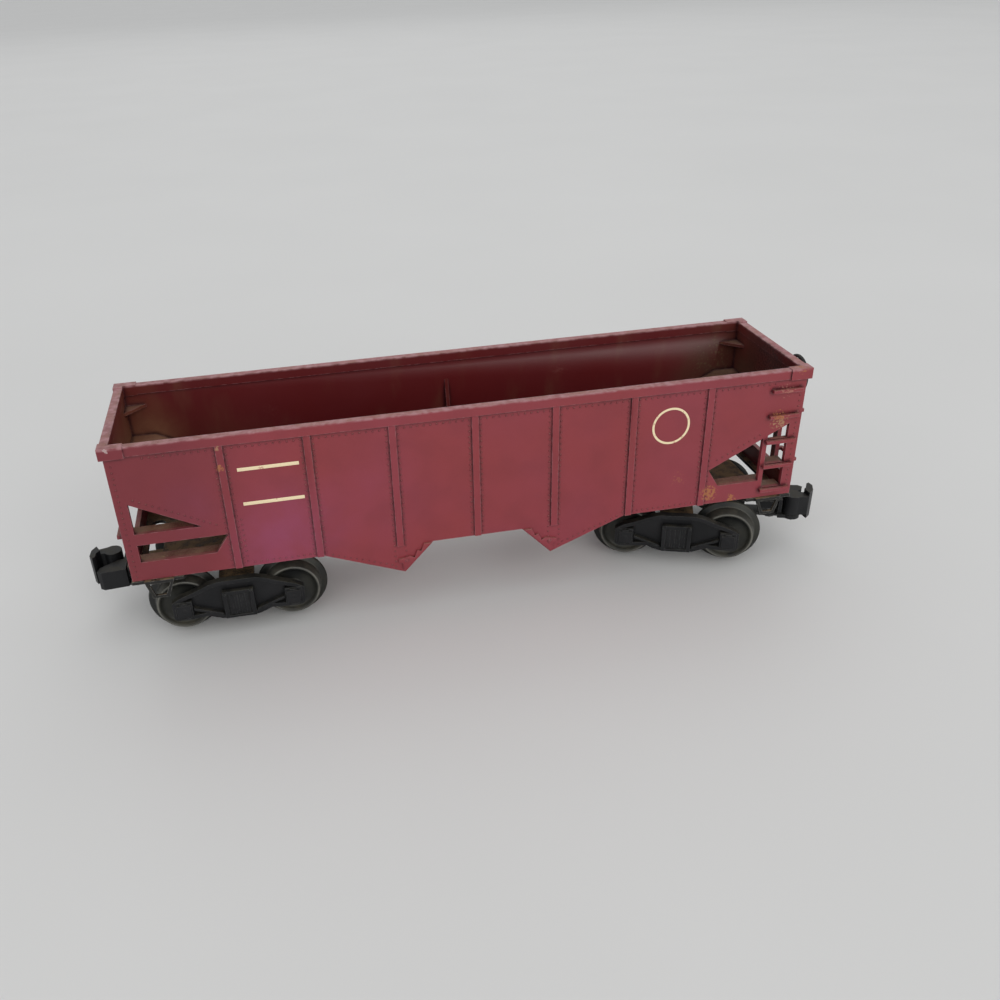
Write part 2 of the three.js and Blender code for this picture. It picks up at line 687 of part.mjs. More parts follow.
// A wheel on the +Y side of a truck, about its own axle line.
function wheel() {
  const face = WHEEL_FACE_Y;
  const back = WHEEL_BACK_Y;
  const bore = AXLE_R + AXLE_RUN;
  const profile = [
    [bore, back],
    [FLANGE_R - 1.0, back],
    [FLANGE_R, back + 0.5],
    [FLANGE_R - 0.25, back + FLANGE_T - 0.3],
    [TREAD_R + 0.35, back + FLANGE_T + 0.25],
    [TREAD_R, back + FLANGE_T + 0.9],
    [TREAD_R - TREAD_TAPER, face - 0.4],
    [TREAD_R - TREAD_TAPER - 0.4, face],
    [FACE_R, face],
    [FACE_R - 0.8, face - FACE_DISH],
    [HUB_R + 0.5, face - FACE_DISH],
    [HUB_R, face + 0.2],
    [bore, face + 0.2],
    [bore, back],
  ];
  return turned(profile, 24, "y");
}

function axle() {
  const end = SIDE_FRAME_Y + SIDE_FRAME_T - GAP;
  const shoulder = WHEEL_BACK_Y - GAP;
  const thick = AXLE_R + AXLE_SHOULDER;
  const profile = [
    [0, -end],
    [AXLE_R, -end],
    [AXLE_R, -shoulder],
    [thick, -shoulder],
    [thick, shoulder],
    [AXLE_R, shoulder],
    [AXLE_R, end],
    [0, end],
  ];
  return turned(profile, 16, "y");
}

// Outline of the cast side frame: arched top, spring seat at the middle, journal boxes at the ends.
function sideFrameOutline(inset = 0) {
  const half = [
    [SEAT_HALF, -SEAT_DROP + inset],
    [CHORD_HALF, -CHORD_DROP + inset],
    [AXLE_X - FOOT_HALF + inset, -FOOT_DROP + inset],
    [AXLE_X + FOOT_HALF - inset, -FOOT_DROP + inset],
    [AXLE_X + TIP - inset, -FOOT_DROP + inset + LID_CHAMFER],
    [AXLE_X + TIP - inset, TIP_H - inset],
    [AXLE_X + TIP - TIP_SLOPE, TIP_TOP_H - inset],
    [AXLE_X - SHOULDER_IN, SHOULDER_H - inset],
    [ARCH_HALF, ARCH_H - inset],
  ];
  const placed = half.map(([x, z]) => [x, AXLE_Z + z]);
  return [...mirrorX(placed), ...placed];
}

// The side frame on the -Y side.
function sideFrame() {
  const inner = -SIDE_FRAME_Y;
  const outer = inner - SIDE_FRAME_T;
  const face = outer - SIDE_FRAME_RELIEF;
  const band = SIDE_FRAME_BAND;
  const plate = slab("side", sideFrameOutline(), outer, inner);
  const raisedEdge = cut(
    slab("side", sideFrameOutline(), face + LID_PROUD, outer + WELD),
    slab("side", sideFrameOutline(band), face - PAST, outer),
  );
  const boxHalf = SPRING_BOX_W / 2;
  const boxZ0 = AXLE_Z - SEAT_DROP;
  const boxZ1 = boxZ0 + SPRING_BOX_H;
  const springBox = cut(
    block(-boxHalf, boxHalf, face, outer + WELD, boxZ0, boxZ1),
    block(-boxHalf + band, boxHalf - band, face - PAST, outer, boxZ0 + band, boxZ1 + PAST),
  );
  const springs = [-SPRING_X, SPRING_X].map((x) =>
    rod(SPRING_R, boxZ0 + band - WELD, boxZ1 - band, "z", 10).translate([x, outer, 0]),
  );
  const journals = [-AXLE_X, AXLE_X].map((x) => {
    const [x0, x1] = [x - JOURNAL_W / 2, x + JOURNAL_W / 2];
    const [z0, z1] = [AXLE_Z - JOURNAL_H / 2, AXLE_Z + JOURNAL_H / 2];
    const lid = [
      [x0, z0],
      [x1, z0],
      [x1, z1 - LID_CHAMFER],
      [x1 - LID_CHAMFER, z1],
      [x0 + LID_CHAMFER, z1],
      [x0, z1 - LID_CHAMFER],
    ];
    return slab("side", lid, face - LID_PROUD, outer + WELD);
  });
  const bores = [-AXLE_X, AXLE_X].map((x) =>
    rod(AXLE_R + GAP, outer, inner + PAST, "y", 16).translate([x, 0, AXLE_Z]),
  );
  return cut(join(plate, raisedEdge, springBox, ...springs, ...journals), ...bores);
}

// ------------------------------------------------------------------ bolster, pivot, coupler

// Stamped bolster: a cross plate with a hub, and a tongue that carries the coupler.
function bolster() {
  const halfW = BOLSTER_W / 2;
  const reach = SIDE_FRAME_Y - GAP;
  const cross = block(-halfW, halfW, -reach, reach, BOLSTER_Z, BOLSTER_TOP);
  const tongue = [
    [0, -TONGUE_ROOT_Y],
    [TONGUE_END, -TONGUE_END_Y],
    [TONGUE_END, TONGUE_END_Y],
    [0, TONGUE_ROOT_Y],
  ];
  const hubTop = FRAME_Z - WASHER_T - 2 * GAP;
  const earY = ARMATURE_Y + EAR_GAP;
  const [earX0, earX1] = [ARMATURE_X - EAR_W / 2, ARMATURE_X + EAR_W / 2];
  const ears = [-1, 1].map((sy) => {
    const [y0, y1] = [sy * earY, sy * (earY + EAR_T)].sort((a, b) => a - b);
    return block(earX0, earX1, y0, y1, ARMATURE_Z - EAR_W / 2, BOLSTER_Z + WELD);
  });
  const crossPin = rod(ARMATURE_PIN_R + GAP, -earY - EAR_T - PAST, earY + EAR_T + PAST, "y", 12);
  const rivetHole = rod(COUPLER_RIVET_R + GAP, BOLSTER_Z - PAST, BOLSTER_TOP + PAST, "z", 12);
  return cut(
    join(
      cross,
      slab("plan", tongue, BOLSTER_Z, BOLSTER_TOP),
      rod(HUB_BOSS_R, BOLSTER_Z, hubTop, "z", 20),
      ...ears,
    ),
    rod(PIVOT_R + GAP, BOLSTER_Z - PAST, hubTop + PAST, "z", 16),
    crossPin.translate([ARMATURE_X, 0, ARMATURE_Z]),
    rivetHole.translate([COUPLER_RIVET_X, 0, 0]),
  );
}

// Headed rivet that holds a truck to its frame.
function pivotRivet() {
  const headTop = BOLSTER_Z - GAP;
  const clinch = FRAME_TOP + GAP;
  return turned([
    [0, headTop - PIVOT_HEAD_T],
    [PIVOT_HEAD_R, headTop - PIVOT_HEAD_T],
    [PIVOT_HEAD_R, headTop],
    [PIVOT_R, headTop],
    [PIVOT_R, clinch],
    [PIVOT_HEAD_R, clinch],
    [PIVOT_HEAD_R * 0.8, clinch + PIVOT_HEAD_T],
    [0, clinch + PIVOT_HEAD_T],
  ], 12, "z");
}

function pivotWasher() {
  const z0 = FRAME_Z - GAP - WASHER_T;
  const inside = PIVOT_R + GAP;
  const z1 = z0 + WASHER_T;
  const profile = [[inside, z0], [WASHER_R, z0], [WASHER_R, z1], [inside, z1], [inside, z0]];
  return turned(profile, 16, "z");
}

// Cast coupler head with its guard arm on the +Y side and a shelf under the knuckle.
function couplerHead() {
  const top = HEAD_Z + HEAD_H;
  const guardArm = [
    [HEAD_START, -HEAD_BACK_T],
    [HEAD_START, GUARD_Y - 0.6],
    [HEAD_END - 1.4, GUARD_Y],
    [HEAD_END, GUARD_Y - 1.0],
    [HEAD_END - 0.6, GUARD_Y - 3.4],
    [KNUCKLE_X + 0.4, 0.4],
    [HEAD_START + 2.6, -HEAD_BACK_T],
  ];
  const shelfEnd = KNUCKLE_X + 0.6;
  const shelfY = KNUCKLE_Y - 2.0;
  const shelfOutline = [
    [HEAD_START, shelfY],
    [HEAD_START, 1.0],
    [shelfEnd, 1.0],
    [shelfEnd, KNUCKLE_Y],
    [KNUCKLE_X, shelfY],
  ];
  const shankTop = BOLSTER_Z - GAP;
  const shank = block(SHANK_START, HEAD_START + WELD, -SHANK_Y, SHANK_Y, SHANK_Z, shankTop);
  const barrelSeat = rod(BARREL_R, HEAD_Z, HEAD_Z + LUG_T, "z", 20);
  const shelf = join(
    slab("plan", shelfOutline, HEAD_Z, HEAD_Z + LUG_T),
    barrelSeat.translate([KNUCKLE_X, KNUCKLE_Y, 0]),
  );
  const back = block(HEAD_START, HEAD_START + HEAD_BACK_T, shelfY + 0.8, 0, HEAD_Z, top);
  const barrelRoom = rod(BARREL_R + GAP, HEAD_Z + LUG_T, top + PAST, "z", 20);
  const pinHole = rod(KNUCKLE_PIN_R + GAP, HEAD_Z - PAST, top + PAST, "z", 12);
  const rivetHole = rod(COUPLER_RIVET_R + GAP, HEAD_Z - PAST, top + PAST, "z", 12);
  return cut(
    join(slab("plan", guardArm, HEAD_Z, top), shelf, shank, back),
    barrelRoom.translate([KNUCKLE_X, KNUCKLE_Y, 0]),
    pinHole.translate([KNUCKLE_X, KNUCKLE_Y, 0]),
    rivetHole.translate([COUPLER_RIVET_X, 0, 0]),
  );
}

// Knuckle: a barrel on its pin and a tall hooked finger, outlined from the pin.
function knuckle() {
  const z0 = HEAD_Z + LUG_T + GAP;
  const hook = [
    [5.0, -1.4],
    [6.4, 1.0],
    [6.6, 4.4],
    [5.6, 6.2],
    [4.8, 5.4],
    [4.6, 3.0],
    [3.6, 1.6],
  ];
  const finger = [[1.2, -2.4], ...hook, [1.4, 1.6]];
  const barrel = rod(BARREL_R, z0, z0 + BARREL_H, "z", 20);
  const arm = slab("plan", finger, z0, z0 + BARREL_H);
  const tallFace = slab("plan", hook, HEAD_Z, HEAD_Z + KNUCKLE_H);
  const bore = rod(KNUCKLE_PIN_R + GAP, z0 - PAST, z0 + BARREL_H - BARREL_CROWN, "z", 12);
  return cut(join(barrel, arm, tallFace), bore).translate([KNUCKLE_X, KNUCKLE_Y, 0]);
}

function knucklePin() {
  const headTop = HEAD_Z - GAP;
  const top = HEAD_Z + LUG_T + BARREL_H - BARREL_CROWN;
  const profile = [
    [0, headTop - RIVET_HEAD_T],
    [PIN_HEAD_R, headTop - RIVET_HEAD_T],
    [PIN_HEAD_R, headTop],
    [KNUCKLE_PIN_R, headTop],
    [KNUCKLE_PIN_R, top],
    [0, top],
  ];
  return turned(profile, 12, "z").translate([KNUCKLE_X, KNUCKLE_Y, 0]);
}

function couplerRivet() {
  const under = SHANK_Z - GAP;
  const over = BOLSTER_TOP + GAP;
  const profile = [
    [0, under - RIVET_HEAD_T],
    [COUPLER_HEAD_R, under - RIVET_HEAD_T],
    [COUPLER_HEAD_R, under],
    [COUPLER_RIVET_R, under],
    [COUPLER_RIVET_R, over],
    [COUPLER_HEAD_R, over],
    [COUPLER_HEAD_R * 0.75, over + RIVET_HEAD_T],
    [0, over + RIVET_HEAD_T],
  ];
  return turned(profile, 10, "z").translate([COUPLER_RIVET_X, 0, 0]);
}

// Hinged steel plate under the coupler that an uncoupling magnet pulls down.
function armature() {
  const z0 = ARMATURE_Z - ARMATURE_DROP;
  const x0 = ARMATURE_X - EAR_W / 2;
  const plate = block(x0, ARMATURE_X + ARMATURE_REACH, -ARMATURE_Y, ARMATURE_Y, z0, z0 + ARMATURE_T);
  const ears = [-1, 1].map((sy) => {
    const [y0, y1] = [sy * (ARMATURE_Y - EAR_T), sy * ARMATURE_Y].sort((a, b) => a - b);
    return block(x0, x0 + EAR_W, y0, y1, z0, ARMATURE_Z + EAR_W / 2);
  });
  const bore = rod(ARMATURE_PIN_R + GAP, -ARMATURE_Y - PAST, ARMATURE_Y + PAST, "y", 12);
  const rivetHole = rod(BUTTON_SHANK_R + GAP, z0 - PAST, z0 + ARMATURE_T + PAST, "z", 12);
  return cut(
    join(plate, ...ears),
    bore.translate([ARMATURE_X, 0, ARMATURE_Z]),
    rivetHole.translate([BUTTON_X, 0, 0]),
  );
}

function armatureButton() {
  const z0 = ARMATURE_Z - ARMATURE_DROP;
  const headTop = z0 - GAP;
  const shankTop = z0 + ARMATURE_T + GAP;
  const profile = [
    [0, headTop - BUTTON_T],
    [BUTTON_R * 0.7, headTop - BUTTON_T],
    [BUTTON_R, headTop - BUTTON_T * 0.4],
    [BUTTON_R, headTop],
    [BUTTON_SHANK_R, headTop],
    [BUTTON_SHANK_R, shankTop],
    [0, shankTop],
  ];
  return turned(profile, 12, "z").translate([BUTTON_X, 0, 0]);
}

function armaturePin() {
  const reach = ARMATURE_Y + EAR_GAP + EAR_T;
  return rod(ARMATURE_PIN_R, -reach, reach, "y", 12).translate([ARMATURE_X, 0, ARMATURE_Z]);
}

// ------------------------------------------------------------------ brake wheel

function brakeWheel() {
  const plane = BRAKE_PLANE;
  const centre = BRAKE_R - BRAKE_WIRE_R;
  const sides = 6;
  const ring = Array.from({ length: sides + 1 }, (_, i) => {
    const angle = (i / sides) * 2 * Math.PI;
    return [centre + BRAKE_WIRE_R * Math.cos(angle), plane + BRAKE_WIRE_R * Math.sin(angle)];
  });
  const parts = [turned(ring, 20, "x")];
  const [halfW, halfT] = [SPOKE_W / 2, SPOKE_T / 2];
  for (let i = 0; i < BRAKE_SPOKES; i += 1) {
    const spoke = block(plane - halfT, plane + halfT, -halfW, halfW, BRAKE_HUB_R * 0.6, centre);
    parts.push(spoke.rotate([(i * 360) / BRAKE_SPOKES, 0, 0]));
  }
  const hub = rod(BRAKE_HUB_R, plane - BRAKE_HUB_HALF, plane + BRAKE_HUB_HALF, "x", 16);
  const boreHalf = BRAKE_HUB_HALF + PAST;
  const bore = rod(BRAKE_PIN_R + AXLE_RUN, plane - boreHalf, plane + boreHalf, "x", 16);
  return cut(join(hub, ...parts), bore).translate([0, BRAKE_Y, BRAKE_Z]);
}

// Headed pin through the end sheet that the brake wheel turns on.
function brakePin() {
  const inside = INNER_X - GAP;
  const collar = SHEET_X + GAP;
  const behind = BRAKE_PLANE - BRAKE_HUB_HALF - GAP;
  const front = BRAKE_PLANE + BRAKE_HUB_HALF + GAP;
  const profile = [
    [0, inside - RIVET_HEAD_T],
    [PIN_HEAD_R, inside - RIVET_HEAD_T],
    [PIN_HEAD_R, inside],
    [BRAKE_PIN_R, inside],
    [BRAKE_PIN_R, collar],
    [BRAKE_PIN_R * 2, collar],
    [BRAKE_PIN_R * 2, behind],
    [BRAKE_PIN_R, behind],
    [BRAKE_PIN_R, front],
    [BRAKE_PIN_R * 1.6, front],
    [BRAKE_PIN_R, front + 0.5],
    [0, front + 0.5],
  ];
  return turned(profile, 10, "x").translate([0, BRAKE_Y, BRAKE_Z]);
}

// ------------------------------------------------------------------ assembly

function truck(end) {
  const group = new THREE.Group();
  const add = (name, shape, material) => group.add(mesh(`${name}_${end}`, shape, material));
  add("truck_bolster", bolster(), BLACK_STEEL);
  add("pivot_washer", pivotWasher(), WASHER_BRASS);
  add("side_frame_right", sideFrame(), BLACK_CASTING);
  add("side_frame_left", sideFrame().rotate([0, 0, 180]), BLACK_CASTING);
  for (const [place, x] of [["outer", AXLE_X], ["inner", -AXLE_X]]) {
    add(`axle_${place}`, axle().translate([x, 0, AXLE_Z]), AXLE_STEEL);
    add(`wheel_${place}_left`, wheel().translate([x, 0, AXLE_Z]), WHEEL_METAL);
    add(`wheel_${place}_right`, wheel().rotate([0, 0, 180]).translate([x, 0, AXLE_Z]), WHEEL_METAL);
  }
  add("coupler_head", couplerHead(), BLACK_CASTING);
  add("coupler_rivet", couplerRivet(), RIVET_STEEL);
  add("knuckle", knuckle(), BLACK_CASTING);
  add("knuckle_pin", knucklePin(), RIVET_STEEL);
  add("armature", armature(), BLACK_STEEL);
  add("armature_pin", armaturePin(), RIVET_STEEL);
  add("armature_button", armatureButton(), RIVET_STEEL);
  return group;
}

const car = new THREE.Group();
car.add(mesh("hopper_body", hopperBody(), MAROON_PLASTIC));
for (const [end, turn] of [["b", 0], ["a", 180]]) {
  const x = Math.cos(turn * DEG) * PIVOT_X;
  car.add(mesh(`end_frame_${end}`, endFrame().rotate([0, 0, turn]), BLACK_STEEL));
  car.add(mesh(`pivot_rivet_${end}`, pivotRivet().translate([x, 0, 0]), RIVET_STEEL));
  for (const [side, y] of [["left", SCREW_Y], ["right", -SCREW_Y]]) {
    const screw = frameScrew(PIVOT_X - SCREW_X, y).rotate([0, 0, turn]);
    car.add(mesh(`frame_screw_${end}_${side}`, screw, RIVET_STEEL));
  }
}
car.add(mesh("brake_wheel", brakeWheel(), BLACK_STEEL));
car.add(mesh("brake_pin", brakePin(), BLACK_STEEL));

const truckB = truck("b");
truckB.position.x = PIVOT_X;
truckB.rotation.z = TRUCK_B_YAW * DEG;
const truckA = truck("a");
truckA.position.x = -PIVOT_X;
truckA.rotation.z = (180 + TRUCK_A_YAW) * DEG;
car.add(truckA, truckB);

export default car;
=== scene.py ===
"""Looks of a toy-gauge hopper car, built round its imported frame.

Shapes are sized in millimetres, and the scene and its shaders are in metres. +X runs along the car
to the brake-wheel end and +Z is up. Carried-over pieces take their shape from the frame, and pieces
made afresh have their sizes here.
"""

import json
import logging
import math
from collections.abc import Callable
from dataclasses import dataclass
from enum import Enum

import bmesh
import bpy
from mathutils import Matrix, Vector

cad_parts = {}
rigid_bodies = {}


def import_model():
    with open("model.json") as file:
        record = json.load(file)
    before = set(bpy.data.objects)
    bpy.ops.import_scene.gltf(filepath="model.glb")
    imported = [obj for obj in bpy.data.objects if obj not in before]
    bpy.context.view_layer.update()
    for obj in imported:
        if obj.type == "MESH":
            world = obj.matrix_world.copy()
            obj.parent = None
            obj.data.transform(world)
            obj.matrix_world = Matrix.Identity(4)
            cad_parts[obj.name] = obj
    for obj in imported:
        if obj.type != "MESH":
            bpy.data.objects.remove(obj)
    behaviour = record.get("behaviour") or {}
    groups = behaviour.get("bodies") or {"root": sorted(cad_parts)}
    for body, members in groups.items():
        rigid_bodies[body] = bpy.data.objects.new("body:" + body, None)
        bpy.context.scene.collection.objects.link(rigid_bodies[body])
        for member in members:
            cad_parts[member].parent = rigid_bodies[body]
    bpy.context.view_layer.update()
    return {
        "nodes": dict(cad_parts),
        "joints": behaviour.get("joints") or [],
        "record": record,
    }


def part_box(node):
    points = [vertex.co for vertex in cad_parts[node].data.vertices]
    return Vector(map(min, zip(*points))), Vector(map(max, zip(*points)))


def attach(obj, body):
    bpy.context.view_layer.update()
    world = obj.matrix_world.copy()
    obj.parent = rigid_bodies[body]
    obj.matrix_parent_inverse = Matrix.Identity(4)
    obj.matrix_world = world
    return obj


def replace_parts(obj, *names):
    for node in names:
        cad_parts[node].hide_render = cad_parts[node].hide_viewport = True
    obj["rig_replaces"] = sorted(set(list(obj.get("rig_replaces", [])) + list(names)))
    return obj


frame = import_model()

MM = 0.001
FLAT = math.radians(0.5)  # faces that meet at less than this are one face
JOIN = 0.002  # mm between points of the frame's mesh that are the same point
MERGE = 0.0005  # mm between points of a new piece that are the same point
LOG = logging.getLogger("hopper_car")


class End(Enum):
    """The two ends of the car; B is the brake-wheel end."""

    A = "a"
    B = "b"


class Side(Enum):
    """The two sides of a truck, as its coupler looks outwards."""

    LEFT = 1
    RIGHT = -1

    @property
    def word(self) -> str:
        """The side's name as the frame spells it.

        Returns:
            The name in small letters.
        """
        return self.name.lower()


class Axis(Enum):
    """The axes that shapes are turned about."""

    X = (1.0, 0.0, 0.0)
    Y = (0.0, 1.0, 0.0)


# ------------------------------------------------------------------ mesh work


def facing(at: Vector, out: Vector) -> Matrix:
    """The move that stands an upright shape on a place.

    Args:
        at: the place.
        out: the way that its top faces there.

    Returns:
        The move.
    """
    turn = Vector((0, 0, 1)).rotation_difference(Vector(out))
    return Matrix.Translation(Vector(at)) @ turn.to_matrix().to_4x4()


class Shape:
    """A bmesh that is built up in millimetres and made into one piece."""

    def __init__(self) -> None:
        """Starts with nothing in it."""
        self.bm = bmesh.new()

    @classmethod
    def of_node(cls, node: str) -> "Shape":
        """A merged copy of a frame node's mesh.

        Args:
            node: the frame node's name.

        Returns:
            The copy, with its loose triangles joined and its flat faces made whole.
        """
        made = cls()
        made.bm.from_mesh(frame["nodes"][node].data)
        bmesh.ops.scale(made.bm, vec=(1 / MM,) * 3, verts=made.bm.verts)
        bmesh.ops.remove_doubles(made.bm, verts=made.bm.verts, dist=JOIN)
        bmesh.ops.dissolve_limit(
            made.bm,
            angle_limit=FLAT,
            use_dissolve_boundaries=False,
            verts=made.bm.verts,
            edges=made.bm.edges,
            delimit={"NORMAL"},
        )
        return made

    def soften(
        self,
        width: float,
        angle: float = 40.0,
        segments: int = 2,
        chosen: Callable[[bmesh.types.BMEdge], bool] = lambda edge: True,
    ) -> "Shape":
        """Rounds the edges that are sharper than an angle.

        Args:
            width: bevel width.
            angle: least angle between the faces, in degrees.
            segments: strips in each rounded edge.
            chosen: says whether an edge is one of those to round.

        Returns:
            This shape.
        """
        limit = math.radians(angle)
        sharp = [
            edge
            for edge in self.bm.edges
            if len(edge.link_faces) == 2 and edge.calc_face_angle(0.0) > limit and chosen(edge)
        ]
        self._round(sharp, width, segments)
        return self

    def _round(self, edges: list, width: float, segments: int = 2) -> None:
        """Rounds some edges.

        Args:
            edges: the edges.
            width: bevel width.
            segments: strips in each rounded edge.
        """
        bmesh.ops.bevel(
            self.bm,
            geom=edges,
            offset=width,
            affect="EDGES",
            segments=segments,
            profile=0.5,
            material=-1,
            clamp_overlap=True,
        )

    def block(self, low: Vector, high: Vector, bevel: float = 0.0) -> "Shape":
        """Adds a box, with rounded edges if a bevel is given.

        Args:
            low: lowest corner.
            high: highest corner.
            bevel: bevel width.

        Returns:
            This shape.
        """
        low, high = Vector(low), Vector(high)
        place = Matrix.Translation((low + high) / 2) @ Matrix.Diagonal((*(high - low), 1.0))
        verts = bmesh.ops.create_cube(self.bm, size=1.0, matrix=place)["verts"]
        if bevel:
            self._round(list({edge for vert in verts for edge in vert.link_edges}), bevel)
        return self

    def spun(self, profile: list, axis: Axis, at: Vector = (0, 0, 0), steps: int = 48) -> "Shape":
        """Adds a profile of (radius, height) points turned about an axis.

        Args:
            profile: points from the axis, or a closed loop whose last point is its first.
            axis: the axis that heights are measured along.
            at: where the axis's zero is.
            steps: sides of the turned shape.

        Returns:
            This shape.
        """
        along = Vector(axis.value)
        across = Vector((0, 0, 1)) if axis is Axis.X else Vector((1, 0, 0))
        closed = profile[0] == profile[-1]
        points = profile[:-1] if closed else profile
        new = [self.bm.verts.new(Vector(at) + across * r + along * h) for r, h in points]
        pairs = list(zip(new, new[1:]))
        if closed:
            pairs.append((new[-1], new[0]))
        edges = [self.bm.edges.new(pair) for pair in pairs]
        before = set(self.bm.verts) - set(new)
        bmesh.ops.spin(
            self.bm,
            geom=new + edges,
            cent=at,
            axis=along,
            angle=math.tau,
            steps=steps,
            use_merge=True,
            use_duplicate=False,
        )
        mine = [vert for vert in self.bm.verts if vert not in before]
        bmesh.ops.remove_doubles(self.bm, verts=mine, dist=MERGE)
        return self

    def plate(self, outline: list, near: float, far: float, bevel: float) -> list:
        """Adds an outline in x and z made thick along y, with its near edge rounded.

        Args:
            outline: (x, z) points in order.
            near: y of the face that is seen.
            far: y of the back face.
            bevel: bevel width of the near edge.

        Returns:
            The faces of the near side.
        """
        verts = [self.bm.verts.new((x, near, z)) for x, z in outline]
        front = self.bm.faces.new(verts)
        made = bmesh.ops.extrude_face_region(self.bm, geom=[front], use_keep_orig=True)
        back = [item for item in made["geom"] if isinstance(item, bmesh.types.BMVert)]
        bmesh.ops.translate(self.bm, verts=back, vec=(0, far - near, 0))
        if bevel:
            self._round(list(front.edges), bevel)
        return [front] if front.is_valid else []

    def sink(self, faces: list, rim: float, depth: Vector) -> "Shape":
        """Leaves a raised rim round faces by pushing their middle in.

        Args:
            faces: the faces to sink.
            rim: width of the rim.
            depth: how the middle moves.

        Returns:
            This shape.
        """
        bmesh.ops.inset_region(self.bm, faces=faces, thickness=rim, use_even_offset=True)
        made = bmesh.ops.extrude_face_region(self.bm, geom=faces)
        moved = [item for item in made["geom"] if isinstance(item, bmesh.types.BMVert)]
        bmesh.ops.translate(self.bm, verts=moved, vec=depth)
        bmesh.ops.delete(self.bm, geom=faces, context="FACES")
        return self

    def dome(self, at: Vector, out: Vector, radius: float, rise: float, sides: int = 8) -> "Shape":
        """Adds a low round head, half sunk in what it stands on.

        Args:
            at: middle of its foot.
            out: the way that it stands out.
            radius: its radius.
            rise: its height.
            sides: sides of its edge.

        Returns:
            This shape.
        """
        flat = Matrix.Diagonal((radius, radius, rise, 1.0))
        bmesh.ops.create_uvsphere(
            self.bm,
            u_segments=sides,
            v_segments=4,
            radius=1.0,
            matrix=facing(at, out) @ flat,
        )
        return self

    def stamp_domes(self, places: list, out: Vector, radius: float, rise: float) -> "Shape":
        """Adds the same low round head at many places.

        Args:
            places: the middle of each foot.
            out: the way that they all stand out.
            radius: their radius.
            rise: their height.

        Returns:
            This shape.
        """
        one = Shape().dome((0, 0, 0), out, radius, rise)
        data = bpy.data.meshes.new("stamp")
        one.bm.to_mesh(data)
        one.bm.free()
        last = Vector((0, 0, 0))
        for place in places:
            data.transform(Matrix.Translation(Vector(place) - last))
            self.bm.from_mesh(data)
            last = Vector(place)
        bpy.data.meshes.remove(data)
        return self

    def hex_head(self, at: Vector, out: Vector, radius: float, rise: float) -> "Shape":
        """Adds a six-sided bolt head.

        Args:
            at: middle of its foot.
            out: the way that it stands out.
            radius: over its corners.
            rise: its height.

        Returns:
            This shape.
        """
        bmesh.ops.create_cone(
            self.bm,
            cap_ends=True,
            segments=6,
            radius1=radius,
            radius2=radius * 0.82,
            depth=rise * 2,
            matrix=facing(at, out),
        )
        return self

    def outward(self) -> "Shape":
        """Merges doubles and turns every closed shell the right way out.

        Returns:
            This shape.
        """
        bmesh.ops.remove_doubles(self.bm, verts=self.bm.verts, dist=MERGE)
        bmesh.ops.recalc_face_normals(self.bm, faces=self.bm.faces)
        return self

    def made(
        self, name: str, smooth: float = 35.0, place: Matrix | None = None
    ) -> bpy.types.Object:
        """Makes the finished object.

        Args:
            name: the piece's name.
            smooth: edges up to this angle, in degrees, are shaded smooth.
            place: where the shape goes, in millimetres.

        Returns:
            The object, at the origin with its place in its mesh.
        """
        if place is not None:
            bmesh.ops.transform(self.bm, matrix=place, verts=self.bm.verts)
        bmesh.ops.scale(self.bm, vec=(MM,) * 3, verts=self.bm.verts)
        limit = math.radians(smooth)
        for face in self.bm.faces:
            face.smooth = True
        for edge in self.bm.edges:
            edge.smooth = len(edge.link_faces) == 2 and edge.calc_face_angle(0.0) < limit
        data = bpy.data.meshes.new(name)
        self.bm.to_mesh(data)
        self.bm.free()
        obj = bpy.data.objects.new(name, data)
        bpy.context.scene.collection.objects.link(obj)
        return obj


def evened(obj: bpy.types.Object) -> bpy.types.Object:
    """Keeps large flat faces looking flat beside their rounded edges.

    Args:
        obj: the piece.

    Returns:
        The piece.
    """
    even = obj.modifiers.new("even_normals", "WEIGHTED_NORMAL")
    even.keep_sharp = True
    even.weight = 100
    return obj


def placed(
    obj: bpy.types.Object,
    body: str,
    material: bpy.types.Material,
    nodes: tuple = (),
) -> None:
    """Dresses a piece and ties it to its body.

    Args:
        obj: the piece.
        body: the frame body that it rides on.
        material: its finish.
        nodes: the frame nodes that it stands for.
    """
    obj.data.materials.clear()
    obj.data.materials.append(material)
    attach(obj, body)
    if nodes:
        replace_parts(obj, *nodes)
    LOG.info("%s: %d faces on %s", obj.name, len(obj.data.polygons), body)


def body_of_node(node: str) -> str:
    """The body that a frame node rides on.

    Args:
        node: the node's name.

    Returns:
        The body's name.
    """
    bodies = frame["record"]["behaviour"]["bodies"]
    return next(body for body, nodes in bodies.items() if node in nodes)


def slot_of_node(node: str) -> str:
    """The record's material slot of a frame node.

    Args:
        node: the node's name.

    Returns:
        The slot's name.
    """
    subparts = frame["record"]["subparts"]
    return next(part["material_slot"] for part in subparts if part["node"] == node)


# ------------------------------------------------------------------ shader groups


